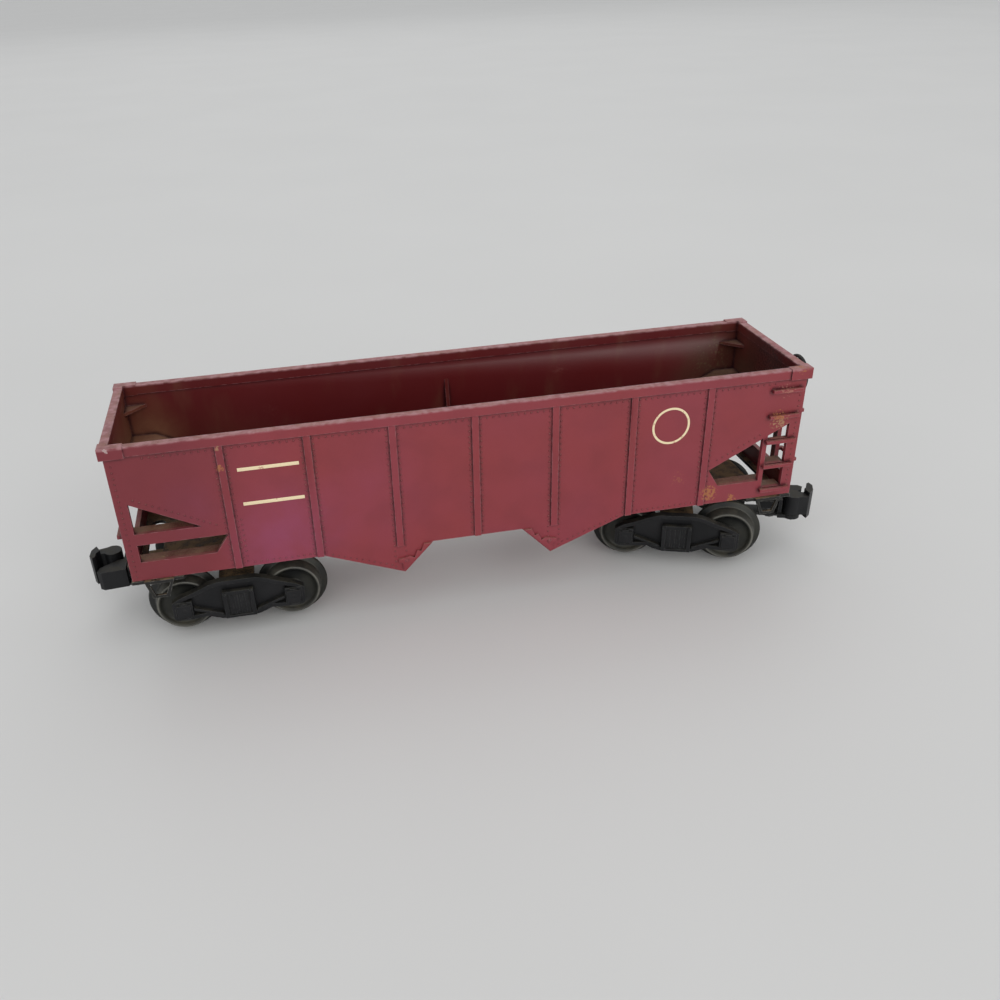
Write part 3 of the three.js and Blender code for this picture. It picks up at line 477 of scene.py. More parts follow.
class Graph:
    """Short ways of adding and joining shader nodes in one tree."""

    def __init__(self, tree: bpy.types.NodeTree) -> None:
        """Keeps the tree.

        Args:
            tree: the tree that nodes are added to.
        """
        self.tree = tree

    def add(self, kind: str, **values: object) -> bpy.types.Node:
        """Adds a node.

        Args:
            kind: the node type without its ShaderNode prefix.
            values: attributes of the node.

        Returns:
            The node.
        """
        node = self.tree.nodes.new(f"ShaderNode{kind}")
        for key, value in values.items():
            setattr(node, key, value)
        return node

    def feed(self, socket: bpy.types.NodeSocket, value: object) -> None:
        """Joins a socket to another, or sets it to a plain value.

        Args:
            socket: the input.
            value: an output socket or a plain value.
        """
        if isinstance(value, bpy.types.NodeSocket):
            self.tree.links.new(value, socket)
        else:
            socket.default_value = value

    def math(self, operation: str, first: object, second: object = 0.0) -> bpy.types.NodeSocket:
        """The result of one operation on two values.

        Args:
            operation: the Math node's operation.
            first: a socket or a number.
            second: a socket or a number.

        Returns:
            The result's socket.
        """
        node = self.add("Math", operation=operation)
        self.feed(node.inputs[0], first)
        self.feed(node.inputs[1], second)
        return node.outputs[0]

    def times(self, *values: object) -> bpy.types.NodeSocket:
        """Two or more values multiplied together.

        Args:
            values: sockets or numbers.

        Returns:
            The product's socket.
        """
        product = values[0]
        for value in values[1:]:
            product = self.math("MULTIPLY", product, value)
        return product

    def less(self, value: object) -> bpy.types.NodeSocket:
        """What is left of 1 when a value is taken away.

        Args:
            value: a socket or a number.

        Returns:
            The result's socket.
        """
        return self.math("SUBTRACT", 1.0, value)

    def ramp(self, value: object, low: object, high: object) -> bpy.types.NodeSocket:
        """A smooth step from 0 at low to 1 at high.

        Args:
            value: what is stepped.
            low: the value that gives 0.
            high: the value that gives 1.

        Returns:
            The result's socket.
        """
        node = self.add("MapRange", interpolation_type="SMOOTHSTEP")
        self.feed(node.inputs["Value"], value)
        self.feed(node.inputs["From Min"], low)
        self.feed(node.inputs["From Max"], high)
        return node.outputs["Result"]

    def where(self) -> bpy.types.NodeSocket:
        """Object coordinates.

        Returns:
            Their socket.
        """
        return self.add("TexCoord").outputs["Object"]

    def split(self, vector: bpy.types.NodeSocket) -> bpy.types.NodeOutputs:
        """The three values of a vector.

        Args:
            vector: the vector's socket.

        Returns:
            Sockets by the names X, Y and Z.
        """
        node = self.add("SeparateXYZ")
        self.feed(node.inputs[0], vector)
        return node.outputs

    def near(self, centre: object, radius: object) -> bpy.types.NodeSocket:
        """How near a point is to a place: 1 there, and 0 at a radius from it.

        Args:
            centre: the place's socket.
            radius: the radius's socket.

        Returns:
            The result's socket.
        """
        away = self.add("VectorMath", operation="DISTANCE")
        self.feed(away.inputs[0], self.where())
        self.feed(away.inputs[1], centre)
        return self.less(self.math("DIVIDE", away.outputs["Value"], radius))

    def noise(
        self, scale: object, detail: float = 3.0, stretch: tuple = (1, 1, 1)
    ) -> bpy.types.NodeSocket:
        """Noise on object coordinates that may be stretched first.

        Args:
            scale: noise cells in a metre.
            detail: octaves.
            stretch: scale along each axis.

        Returns:
            The noise's value socket.
        """
        mapping = self.add("Mapping")
        self.feed(mapping.inputs["Vector"], self.where())
        mapping.inputs["Scale"].default_value = stretch
        node = self.add("TexNoise")
        self.feed(node.inputs["Vector"], mapping.outputs["Vector"])
        self.feed(node.inputs["Scale"], scale)
        self.feed(node.inputs["Detail"], detail)
        return node.outputs["Fac"]

    def patches(
        self,
        scale: object,
        low: float,
        high: float,
        detail: float = 3.0,
        stretch: tuple = (1, 1, 1),
    ) -> bpy.types.NodeSocket:
        """Noise stepped into patches.

        Args:
            scale: noise cells in a metre.
            low: the noise that gives 0.
            high: the noise that gives 1.
            detail: octaves.
            stretch: scale along each axis.

        Returns:
            The patches' mask.
        """
        return self.ramp(self.noise(scale, detail, stretch), low, high)

    def mix(self, factor: object, first: object, second: object) -> bpy.types.NodeSocket:
        """A colour mixed from two.

        Args:
            factor: the second colour's share.
            first: a socket or a colour.
            second: a socket or a colour.

        Returns:
            The colour's socket.
        """
        node = self.add("Mix", data_type="RGBA")
        self.feed(node.inputs["Factor"], factor)
        self.feed(node.inputs[6], first)
        self.feed(node.inputs[7], second)
        return node.outputs[2]

    def blend(self, factor: object, first: object, second: object) -> bpy.types.NodeSocket:
        """A value mixed from two.

        Args:
            factor: the second value's share.
            first: a socket or a number.
            second: a socket or a number.

        Returns:
            The value's socket.
        """
        node = self.add("Mix", data_type="FLOAT")
        self.feed(node.inputs[0], factor)
        self.feed(node.inputs[2], first)
        self.feed(node.inputs[3], second)
        return node.outputs[0]

    def use(self, group: bpy.types.NodeTree, **values: object) -> bpy.types.NodeOutputs:
        """Places a node group and feeds its inputs.

        Args:
            group: the group.
            values: inputs by name, with _ for a space.

        Returns:
            The group's outputs by name.
        """
        node = self.add("Group", node_tree=group)
        for key, value in values.items():
            self.feed(node.inputs[key.replace("_", " ")], value)
        return node.outputs

    def relief(
        self, surface: bpy.types.Node, height: object, strength: float, depth: float
    ) -> None:
        """Gives a surface fine relief.

        Args:
            surface: the surface shader.
            height: the height's socket.
            strength: how strongly it shows.
            depth: its depth in millimetres.
        """
        bump = self.add("Bump")
        bump.inputs["Strength"].default_value = strength
        bump.inputs["Distance"].default_value = depth * MM
        self.feed(bump.inputs["Height"], height)
        self.feed(surface.inputs["Normal"], bump.outputs["Normal"])


def new_group(name: str, inputs: dict, outputs: dict) -> tuple:
    """A new shader group with named sockets.

    Args:
        name: the group's name.
        inputs: default value by name; a tuple makes a vector socket.
        outputs: socket type word by name.

    Returns:
        The group, its graph, its input node's sockets and its output node's sockets.
    """
    tree = bpy.data.node_groups.new(name, "ShaderNodeTree")
    for key, value in inputs.items():
        kind = "NodeSocketVector" if isinstance(value, tuple) else "NodeSocketFloat"
        tree.interface.new_socket(key, in_out="INPUT", socket_type=kind).default_value = value
    for key, kind in outputs.items():
        tree.interface.new_socket(key, in_out="OUTPUT", socket_type=f"NodeSocket{kind}")
    start = tree.nodes.new("NodeGroupInput")
    end = tree.nodes.new("NodeGroupOutput")
    return tree, Graph(tree), start.outputs, end.inputs


def edge_wear_group() -> bpy.types.NodeTree:
    """Worn outer edges, broken up by noise.

    Returns:
        The group.
    """
    tree, graph, given, out = new_group(
        "edge_wear", {"Amount": 0.5, "Raggedness": 900.0}, {"Mask": "Float"}
    )
    rounded = graph.add("Bevel", samples=6)
    rounded.inputs["Radius"].default_value = 0.35 * MM
    alike = graph.add("VectorMath", operation="DOT_PRODUCT")
    graph.feed(alike.inputs[0], rounded.outputs["Normal"])
    graph.feed(alike.inputs[1], graph.add("NewGeometry").outputs["Normal"])
    edge = graph.ramp(graph.less(alike.outputs["Value"]), 0.01, 0.14)
    torn = graph.patches(given["Raggedness"], 0.36, 0.62, 5.0)
    graph.feed(out["Mask"], graph.times(edge, torn, given["Amount"]))
    return tree


def grime_group() -> bpy.types.NodeTree:
    """Painted dark shade in inside corners, found by ambient occlusion.

    Returns:
        The group.
    """
    tree, graph, given, out = new_group(
        "grime", {"Reach": 1.3 * MM, "Amount": 0.95}, {"Mask": "Float"}
    )
    open_sky = graph.add("AmbientOcclusion", samples=4, only_local=True)
    graph.feed(open_sky.inputs["Distance"], given["Reach"])
    corner = graph.ramp(open_sky.outputs["AO"], 0.95, 0.6)
    uneven = graph.blend(graph.patches(320.0, 0.3, 0.6), 0.55, 1.0)
    graph.feed(out["Mask"], graph.times(corner, uneven, given["Amount"]))
    return tree


def haze_group() -> bpy.types.NodeTree:
    """A soft cloud round one place.

    Returns:
        The group.
    """
    tree, graph, given, out = new_group(
        "haze", {"Centre": (0.0, 0.0, 0.0), "Radius": 0.02}, {"Mask": "Float"}
    )
    near = graph.near(given["Centre"], given["Radius"])
    cloud = graph.blend(graph.patches(130.0, 0.3, 0.7), 0.55, 1.0)
    graph.feed(out["Mask"], graph.times(graph.ramp(near, 0.0, 0.9), cloud))
    return tree


def dust_group() -> bpy.types.NodeTree:
    """Dust that has settled on what faces up, in drifts.

    Returns:
        The group.
    """
    tree, graph, given, out = new_group(
        "dust", {"Amount": 0.5, "Drift": 160.0}, {"Mask": "Float"}
    )
    normal = graph.split(graph.add("NewGeometry").outputs["True Normal"])
    up = graph.ramp(normal["Z"], 0.1, 0.85)
    drift = graph.patches(given["Drift"], 0.34, 0.66, 6.0)
    speck = graph.patches(2600.0, 0.42, 0.7, 2.0)
    graph.feed(out["Mask"], graph.times(up, graph.blend(0.45, drift, speck), given["Amount"]))
    return tree


def mottle_group() -> bpy.types.NodeTree:
    """Broad uneven patches and a fine grain with its height.

    Returns:
        The group.
    """
    tree, graph, given, out = new_group(
        "mottle",
        {"Patch Scale": 22.0, "Grain Scale": 1400.0},
        {"Patches": "Float", "Grain": "Float", "Height": "Float"},
    )
    graph.feed(out["Patches"], graph.patches(given["Patch Scale"], 0.3, 0.7, 4.0))
    grain = graph.noise(given["Grain Scale"])
    graph.feed(out["Grain"], grain)
    graph.feed(out["Height"], graph.blend(0.5, grain, graph.noise(260.0, 2.0)))
    return tree


def spot_group() -> bpy.types.NodeTree:
    """A ragged mark round one place.

    Returns:
        The group.
    """
    tree, graph, given, out = new_group(
        "spot",
        {"Centre": (0.0, 0.0, 0.0), "Radius": 0.003, "Raggedness": 1500.0, "Density": 0.5},
        {"Mask": "Float"},
    )
    near = graph.near(given["Centre"], given["Radius"])
    torn = graph.math("ADD", graph.noise(given["Raggedness"], 4.0), given["Density"])
    reach = graph.math("ADD", graph.times(near, 0.35), graph.math("SUBTRACT", torn, 1.0))
    inside = graph.ramp(near, 0.0, 0.25)
    graph.feed(out["Mask"], graph.times(graph.ramp(reach, 0.08, 0.2), inside))
    return tree


def hold_group() -> bpy.types.NodeTree:
    """Where a surface is inside the hold, and how low it is there.

    Returns:
        The group.
    """
    tree, graph, given, out = new_group(
        "hold",
        {"Half Length": 0.1056, "Half Width": 0.0225, "Top": 0.069, "Floor": 0.04},
        {"Inside": "Float", "Depth": "Float"},
    )
    place = graph.split(graph.where())
    inside = graph.times(
        graph.math("LESS_THAN", graph.math("ABSOLUTE", place["X"]), given["Half Length"]),
        graph.math("LESS_THAN", graph.math("ABSOLUTE", place["Y"]), given["Half Width"]),
    )
    normal = graph.split(graph.add("NewGeometry").outputs["True Normal"])
    not_under = graph.math("GREATER_THAN", normal["Z"], -0.2)
    graph.feed(out["Inside"], graph.times(inside, not_under))
    graph.feed(out["Depth"], graph.ramp(place["Z"], given["Top"], given["Floor"]))
    return tree


@dataclass(frozen=True)
class Effects:
    """The shader groups that several finishes share."""

    wear: bpy.types.NodeTree
    dust: bpy.types.NodeTree
    mottle: bpy.types.NodeTree
    spot: bpy.types.NodeTree
    hold: bpy.types.NodeTree
    grime: bpy.types.NodeTree
    haze: bpy.types.NodeTree

    @classmethod
    def build(cls) -> "Effects":
        """Builds each group once.

        Returns:
            The groups.
        """
        return cls(
            edge_wear_group(),
            dust_group(),
            mottle_group(),
            spot_group(),
            hold_group(),
            grime_group(),
            haze_group(),
        )


# ------------------------------------------------------------------ finishes


def rgb(red: float, green: float, blue: float) -> tuple:
    """A linear colour from screen values of 0 to 255.

    Args:
        red: the red value.
        green: the green value.
        blue: the blue value.

    Returns:
        Red, green, blue and a full alpha.
    """
    shares = (value / 255 for value in (red, green, blue))
    return (*(v / 12.92 if v <= 0.04045 else ((v + 0.055) / 1.055) ** 2.4 for v in shares), 1.0)


@dataclass(frozen=True)
class Mark:
    """A chip, a stain, a soft cloud or a patch of painted shadow at one place on the body, in
    millimetres.
    """

    centre: tuple
    radius: float
    colour: tuple
    density: float = 0.5
    strength: float = 0.9


class Coat:
    """A colour that is built up in layers in one material."""

    def __init__(self, graph: Graph, effects: Effects, colour: bpy.types.NodeSocket) -> None:
        """Starts with the lowest layer.

        Args:
            graph: the material's graph.
            effects: the shared groups.
            colour: the lowest layer's colour.
        """
        self.graph = graph
        self.effects = effects
        self.colour = colour

    def over(self, mask: bpy.types.NodeSocket, colour: tuple) -> None:
        """Lays a colour over what is there.

        Args:
            mask: where it is laid.
            colour: the colour.
        """
        self.colour = self.graph.mix(mask, self.colour, colour)

    def clouds(self, hazes: tuple, within: object) -> None:
        """Lays each soft cloud.

        Args:
            hazes: the clouds.
            within: mask that the clouds keep to.
        """
        for haze in hazes:
            centre = tuple(value * MM for value in haze.centre)
            cloud = self.graph.use(self.effects.haze, Centre=centre, Radius=haze.radius * MM)
            self.over(self.graph.times(cloud["Mask"], haze.strength, within), haze.colour)

    def marks(self, marks: tuple, within: object) -> object:
        """Lays each ragged mark.

        Args:
            marks: the marks.
            within: mask that the marks keep to.

        Returns:
            The mask of all the marks.
        """
        marked = 0.0
        for mark in marks:
            centre = tuple(value * MM for value in mark.centre)
            spot = self.graph.use(
                self.effects.spot, Centre=centre, Radius=mark.radius * MM, Density=mark.density
            )
            share = self.graph.times(spot["Mask"], mark.strength, within)
            self.over(share, mark.colour)
            marked = self.graph.math("MAXIMUM", marked, share)
        return marked


@dataclass(frozen=True)
class Finish:
    """What all finishes share: a name, and a surface that their own nodes feed."""

    name: str

    def start(self) -> tuple:
        """A new material.

        Returns:
            The material, its graph and its surface shader.
        """
        material = bpy.data.materials.new(self.name)
        material.use_nodes = True
        surface = material.node_tree.nodes["Principled BSDF"]
        return material, Graph(material.node_tree), surface


@dataclass(frozen=True)
class MouldedPlastic(Finish):
    """Maroon plastic with purple bloom, worn edges, dust, dirt in the hold, and painted shade in
    inside corners, on the last panel at -X and over the inside of the hold.
    """

    base: tuple = rgb(134, 50, 55)
    bloom: tuple = rgb(130, 58, 96)
    # A darker maroon: painted shade on the last panel at -X, and the random dull patches.
    shaded: tuple = rgb(98, 34, 42)
    # Painted shade: the inside of the hold is laid darker, as a recess that less light reaches.
    inner: tuple = rgb(80, 14, 15)
    worn: tuple = rgb(168, 122, 126)
    dust_colour: tuple = rgb(150, 118, 98)
    dirt: tuple = rgb(112, 84, 62)
    moss: tuple = rgb(140, 128, 76)
    # Painted shade in inside corners.
    grime: tuple = rgb(40, 14, 20)
    wear: float = 0.62
    bloom_share: float = 0.12
    end_share: float = 0.55  # painted shade: share of the darker colour laid on the last panel at -X
    end_x: tuple = (-0.062, -0.09)  # where that shade starts and where it is full
    dull_share: float = 0.22
    inner_share: float = 0.85
    film_share: float = 0.34
    rim_z: tuple = (0.0683, 0.0689)  # where the rim's rubbed top starts and where it is full
    marks: tuple = ()
    hold_marks: tuple = ()
    hold_hazes: tuple = ()
    hazes: tuple = ()

    def make(self, effects: Effects) -> bpy.types.Material:
        """Builds the material from the shared effects.

        Args:
            effects: the shared groups.

        Returns:
            The material.
        """
        material, graph, surface = self.start()
        mottle = graph.use(effects.mottle, Patch_Scale=26.0, Grain_Scale=1500.0)
        place = graph.split(graph.where())
        hold = graph.use(effects.hold)
        bloom = graph.times(mottle["Patches"], self.bloom_share)
        coat = Coat(graph, effects, graph.mix(bloom, self.base, self.bloom))
        coat.clouds(self.hazes, 1.0)
        # Painted shade on the last panel at -X.
        coat.over(graph.times(graph.ramp(place["X"], *self.end_x), self.end_share), self.shaded)
        coat.over(graph.times(graph.patches(90.0, 0.35, 0.75, 5.0), self.dull_share), self.shaded)
        # Painted shade over the inside of the hold.
        coat.over(graph.times(hold["Inside"], self.inner_share), self.inner)
        self._dirt(coat, hold["Inside"], hold["Depth"])
        # The hold's soft clouds include a painted shadow on its +X end wall.
        coat.clouds(self.hold_hazes, hold["Inside"])
        # The hold's marks include a painted shadow on its +X end wall.
        hold_marked = coat.marks(self.hold_marks, hold["Inside"])
        dust = graph.use(effects.dust, Amount=0.7, Drift=150.0)["Mask"]
        coat.over(dust, self.dust_colour)
        # Painted shade in inside corners, from ambient occlusion.
        grime = graph.use(effects.grime)["Mask"]
        coat.over(grime, self.grime)
        rubbed = graph.blend(graph.patches(420.0, 0.35, 0.68, 5.0), 0.15, 0.8)
        coat.over(graph.times(graph.ramp(place["Z"], *self.rim_z), rubbed), self.worn)
        wear = graph.use(effects.wear, Amount=self.wear, Raggedness=650.0)["Mask"]
        coat.over(graph.times(wear, graph.less(grime)), self.worn)
        marked = graph.math("MAXIMUM", hold_marked, coat.marks(self.marks, 1.0))
        graph.feed(surface.inputs["Base Color"], coat.colour)
        rough = graph.blend(dust, graph.blend(mottle["Patches"], 0.36, 0.47), 0.85)
        graph.feed(surface.inputs["Roughness"], graph.blend(marked, rough, 0.75))
        surface.inputs["Specular IOR Level"].default_value = 0.42
        graph.relief(surface, mottle["Height"], 0.22, 0.12)
        return material

    def _dirt(
        self, coat: Coat, inside: bpy.types.NodeSocket, depth: bpy.types.NodeSocket
    ) -> None:
        """Lays brown dirt on the hold's slopes, drifted towards its ends.

        Args:
            coat: the material's coat.
            inside: mask of the hold.
            depth: how low the surface is.
        """
        graph = coat.graph
        cover = graph.times(
            graph.use(coat.effects.dust, Amount=1.6, Drift=110.0)["Mask"], inside, depth
        )
        streak = graph.patches(55.0, 0.5, 0.78, 5.0, (1.6, 1.6, 0.5))
        film = graph.times(streak, inside, self.film_share)
        coat.over(graph.math("MAXIMUM", graph.math("MINIMUM", cover, 0.9), film), self.dirt)
        coat.over(graph.times(graph.patches(480.0, 0.62, 0.74, 4.0), cover), self.moss)


@dataclass(frozen=True)
class DarkMetal(Finish):
    """Blackened metal: painted sheet, castings and wheels, with bare edges, settled dust and
    painted shade in inside corners.
    """

    base: tuple = rgb(17, 18, 20)
    second: tuple = rgb(27, 27, 29)
    worn: tuple = rgb(112, 112, 110)
    dust_colour: tuple = rgb(84, 80, 66)
    # Painted shade in inside corners.
    grime: tuple = rgb(12, 12, 13)
    wear: float = 0.5
    dust: float = 0.5
    metallic: float = 0.15
    bare_metallic: float = 0.75
    rough: float = 0.5
    strength: float = 0.35  # of the fine relief
    shine: float = 0.45

    def make(self, effects: Effects) -> bpy.types.Material:
        """Builds the material from the shared effects.

        Args:
            effects: the shared groups.

        Returns:
            The material.
        """
        material, graph, surface = self.start()
        mottle = graph.use(effects.mottle, Patch_Scale=120.0, Grain_Scale=1600.0)
        coat = Coat(graph, effects, graph.mix(mottle["Patches"], self.base, self.second))
        dust = graph.use(effects.dust, Amount=self.dust, Drift=260.0)["Mask"]
        coat.over(dust, self.dust_colour)
        # Painted shade in inside corners, from ambient occlusion.
        grime = graph.use(effects.grime, Amount=0.7)["Mask"]
        coat.over(grime, self.grime)
        edge = graph.use(effects.wear, Amount=self.wear, Raggedness=900.0)["Mask"]
        polish = graph.add("Attribute", attribute_name="polish").outputs["Fac"]
        rubbed = graph.times(polish, graph.blend(mottle["Patches"], 0.45, 0.9))
        bare = graph.times(graph.math("MAXIMUM", edge, rubbed), graph.less(grime))
        coat.over(bare, self.worn)
        graph.feed(surface.inputs["Base Color"], coat.colour)
        metallic = graph.blend(bare, self.metallic, self.bare_metallic)
        graph.feed(surface.inputs["Metallic"], metallic)
        surface.inputs["Specular IOR Level"].default_value = self.shine
        rough = graph.blend(mottle["Grain"], self.rough - 0.08, self.rough + 0.1)
        graph.feed(surface.inputs["Roughness"], graph.blend(dust, rough, 0.9))
        graph.relief(surface, mottle["Height"], self.strength, 0.1)
        return material


@dataclass(frozen=True)
class BareMetal(Finish):
    """Bare turned or rolled metal, dulled in patches."""

    base: tuple = rgb(150, 150, 150)
    dull: tuple = rgb(96, 94, 90)
    rough: float = 0.32
    dust_colour: tuple = rgb(110, 104, 90)

    def make(self, effects: Effects) -> bpy.types.Material:
        """Builds the material from the shared effects.

        Args:
            effects: the shared groups.

        Returns:
            The material.
        """
        material, graph, surface = self.start()
        mottle = graph.use(effects.mottle, Patch_Scale=300.0, Grain_Scale=2600.0)
        coat = Coat(graph, effects, graph.mix(mottle["Patches"], self.base, self.dull))
        dust = graph.use(effects.dust, Amount=0.4, Drift=400.0)["Mask"]
        coat.over(dust, self.dust_colour)
        graph.feed(surface.inputs["Base Color"], coat.colour)
        surface.inputs["Metallic"].default_value = 0.9
        rough = graph.blend(mottle["Patches"], self.rough, self.rough + 0.2)
        graph.feed(surface.inputs["Roughness"], graph.blend(dust, rough, 0.85))
        graph.relief(surface, mottle["Height"], 0.2, 0.05)
        return material


@dataclass(frozen=True)
class StampedPaint(Finish):
    """Cream paint pressed on the sides, thin in places."""

    base: tuple = rgb(232, 214, 176)
    thin: tuple = rgb(188, 142, 122)

    def make(self, effects: Effects) -> bpy.types.Material:
        """Builds the material from the shared effects.

        Args:
            effects: the shared groups.

        Returns:
            The material.
        """
        material, graph, surface = self.start()
        mottle = graph.use(effects.mottle, Patch_Scale=420.0, Grain_Scale=2400.0)
        gone = graph.patches(900.0, 0.6, 0.72, 5.0)
        graph.feed(surface.inputs["Base Color"], graph.mix(gone, self.base, self.thin))
        graph.feed(surface.inputs["Roughness"], graph.blend(mottle["Grain"], 0.42, 0.62))
        graph.relief(surface, mottle["Height"], 0.15, 0.03)
        return material


RUST = rgb(160, 102, 64)
TAN = rgb(166, 128, 96)
BROWN = rgb(84, 60, 46)
PLUM = rgb(142, 66, 100)

BODY_MARKS = (
    Mark((77.6, -24.0, 28.5), 4.2, RUST, 0.44),
    Mark((85.8, -24.0, 25.4), 2.4, RUST, 0.42),
    Mark((66.5, -24.0, 35.0), 6.0, rgb(150, 86, 66), 0.3, 0.7),
    Mark((99.6, -25.0, 51.5), 4.6, TAN, 0.4, 0.8),
    Mark((98.4, -25.4, 53.9), 4.0, RUST, 0.4, 0.8),
    Mark((100.6, -25.4, 62.4), 5.0, rgb(160, 104, 92), 0.34, 0.8),
    Mark((99.0, -24.6, 30.0), 7.0, rgb(136, 82, 66), 0.28, 0.7),
    Mark((104.6, -23.2, 69.0), 3.0, RUST, 0.4, 0.8),
    Mark((-105.6, -24.8, 68.6), 1.5, rgb(190, 172, 170), 0.38, 0.65),
    Mark((-75.6, -24.4, 59.0), 1.6, RUST, 0.46, 0.8),
    Mark((-75.4, -24.4, 65.5), 1.6, TAN, 0.38, 0.7),
    Mark((62.0, 24.0, 30.5), 4.0, RUST, 0.4, 0.8),
    Mark((-86.0, 24.0, 26.0), 3.4, RUST, 0.4, 0.8),
)

HOLD_MARKS = (
    Mark((98.0, 18.0, 55.0), 20.0, rgb(104, 86, 60), 0.28, 0.6),
    # Painted shadow on the hold's inner end wall at +X.
    Mark((104.0, -4.0, 62.0), 24.0, rgb(44, 22, 20), 0.36, 0.7),
    Mark((-101.0, 19.0, 55.0), 13.0, rgb(120, 78, 56), 0.26, 0.45),
    Mark((40.0, 22.0, 58.0), 4.0, rgb(104, 44, 40), 0.36, 0.5),
    Mark((-60.0, 22.0, 55.0), 6.0, rgb(104, 44, 40), 0.3, 0.5),
)

HOLD_HAZES = (
    Mark((99.0, 16.0, 52.0), 26.0, BROWN, strength=0.85),
    # Painted shadow on the hold's inner end wall at +X.
    Mark((106.0, -4.0, 58.0), 34.0, rgb(48, 24, 21), strength=0.8),
    Mark((-100.0, 16.0, 51.0), 17.0, rgb(150, 110, 80), strength=0.75),
    Mark((-99.0, -6.0, 51.0), 22.0, rgb(140, 104, 78), strength=0.8),
    Mark((-105.0, 10.0, 60.0), 22.0, rgb(108, 60, 46), strength=0.55),
    Mark((-78.0, 20.0, 44.0), 20.0, rgb(104, 52, 40), strength=0.4),
)

BODY_HAZES = (
    Mark((-57.0, -24.0, 35.0), 24.0, PLUM, strength=0.5),
    Mark((-86.0, -24.0, 48.0), 13.0, PLUM, strength=0.3),
    Mark((-68.0, -24.0, 29.0), 16.0, PLUM, strength=0.34),
    Mark((-28.0, -24.0, 42.0), 24.0, PLUM, strength=0.16),
    Mark((57.0, 24.0, 36.0), 24.0, PLUM, strength=0.34),
)


@dataclass(frozen=True)
class Finishes:
    """Every finish on the car, by the record's slot where it has one."""

    by_slot: dict
    paint: bpy.types.Material
    rivets: bpy.types.Material
    dusty_steel: bpy.types.Material

    @classmethod
    def build(cls) -> "Finishes":
        """Builds the shared groups and then each material.

        Returns:
            The finishes.
        """
        effects = Effects.build()
        bare = rgb(150, 148, 142)
        dusty = DarkMetal(
            "dusty_steel",
            rgb(18, 18, 18),
            rgb(30, 28, 25),
            bare,
            rgb(128, 106, 78),
            wear=0.65,
            dust=1.7,
        )
        # The rivets' darker base is partly painted shade round each small head and partly dirt.
        rivets = MouldedPlastic(
            "maroon_rivets", rgb(120, 44, 50), wear=0.12, hazes=BODY_HAZES, grime=rgb(60, 20, 28)
        )
        made = (
            MouldedPlastic(
                "maroon_plastic",
                marks=BODY_MARKS,
                hold_marks=HOLD_MARKS,
                hold_hazes=HOLD_HAZES,
                hazes=BODY_HAZES,
            ),
            DarkMetal("black_steel", rgb(20, 21, 22), rgb(30, 30, 32), bare, wear=0.7, dust=0.35),
            DarkMetal(
                "black_casting", wear=0.34, metallic=0.0, rough=0.46, strength=0.3, shine=0.26
            ),
            DarkMetal(
                "wheel_metal",
                rgb(30, 31, 31),
                rgb(46, 46, 40),
                rgb(138, 136, 128),
                rgb(88, 82, 66),
                wear=0.55,
                metallic=0.35,
                rough=0.42,
                strength=0.2,
            ),
            BareMetal("axle_steel", rgb(150, 150, 148), rgb(90, 86, 80)),
            BareMetal("rivet_steel", rgb(104, 104, 106), rgb(70, 68, 66), 0.4),
            BareMetal("washer_brass", rgb(196, 158, 88), rgb(120, 96, 56), 0.36),
        )
        return cls(
            {finish.name: finish.make(effects) for finish in made},
            StampedPaint("cream_paint").make(effects),
            rivets.make(effects),
            dusty.make(effects),
        )


# ------------------------------------------------------------------ the moulded body


# One bay's flap, as (inwards, up) from the bay's foot.
FLAP = (
    (0.1, 0.7),
    (9.0, 9.9),
    (6.4, 9.9),
    (5.4, 7.4),
    (4.2, 7.8),
    (3.1, 5.3),
    (1.8, 6.0),
    (-1.9, 5.2),
    (-1.9, 3.9),
    (-0.7, 3.6),
    (-0.7, 1.6),
)


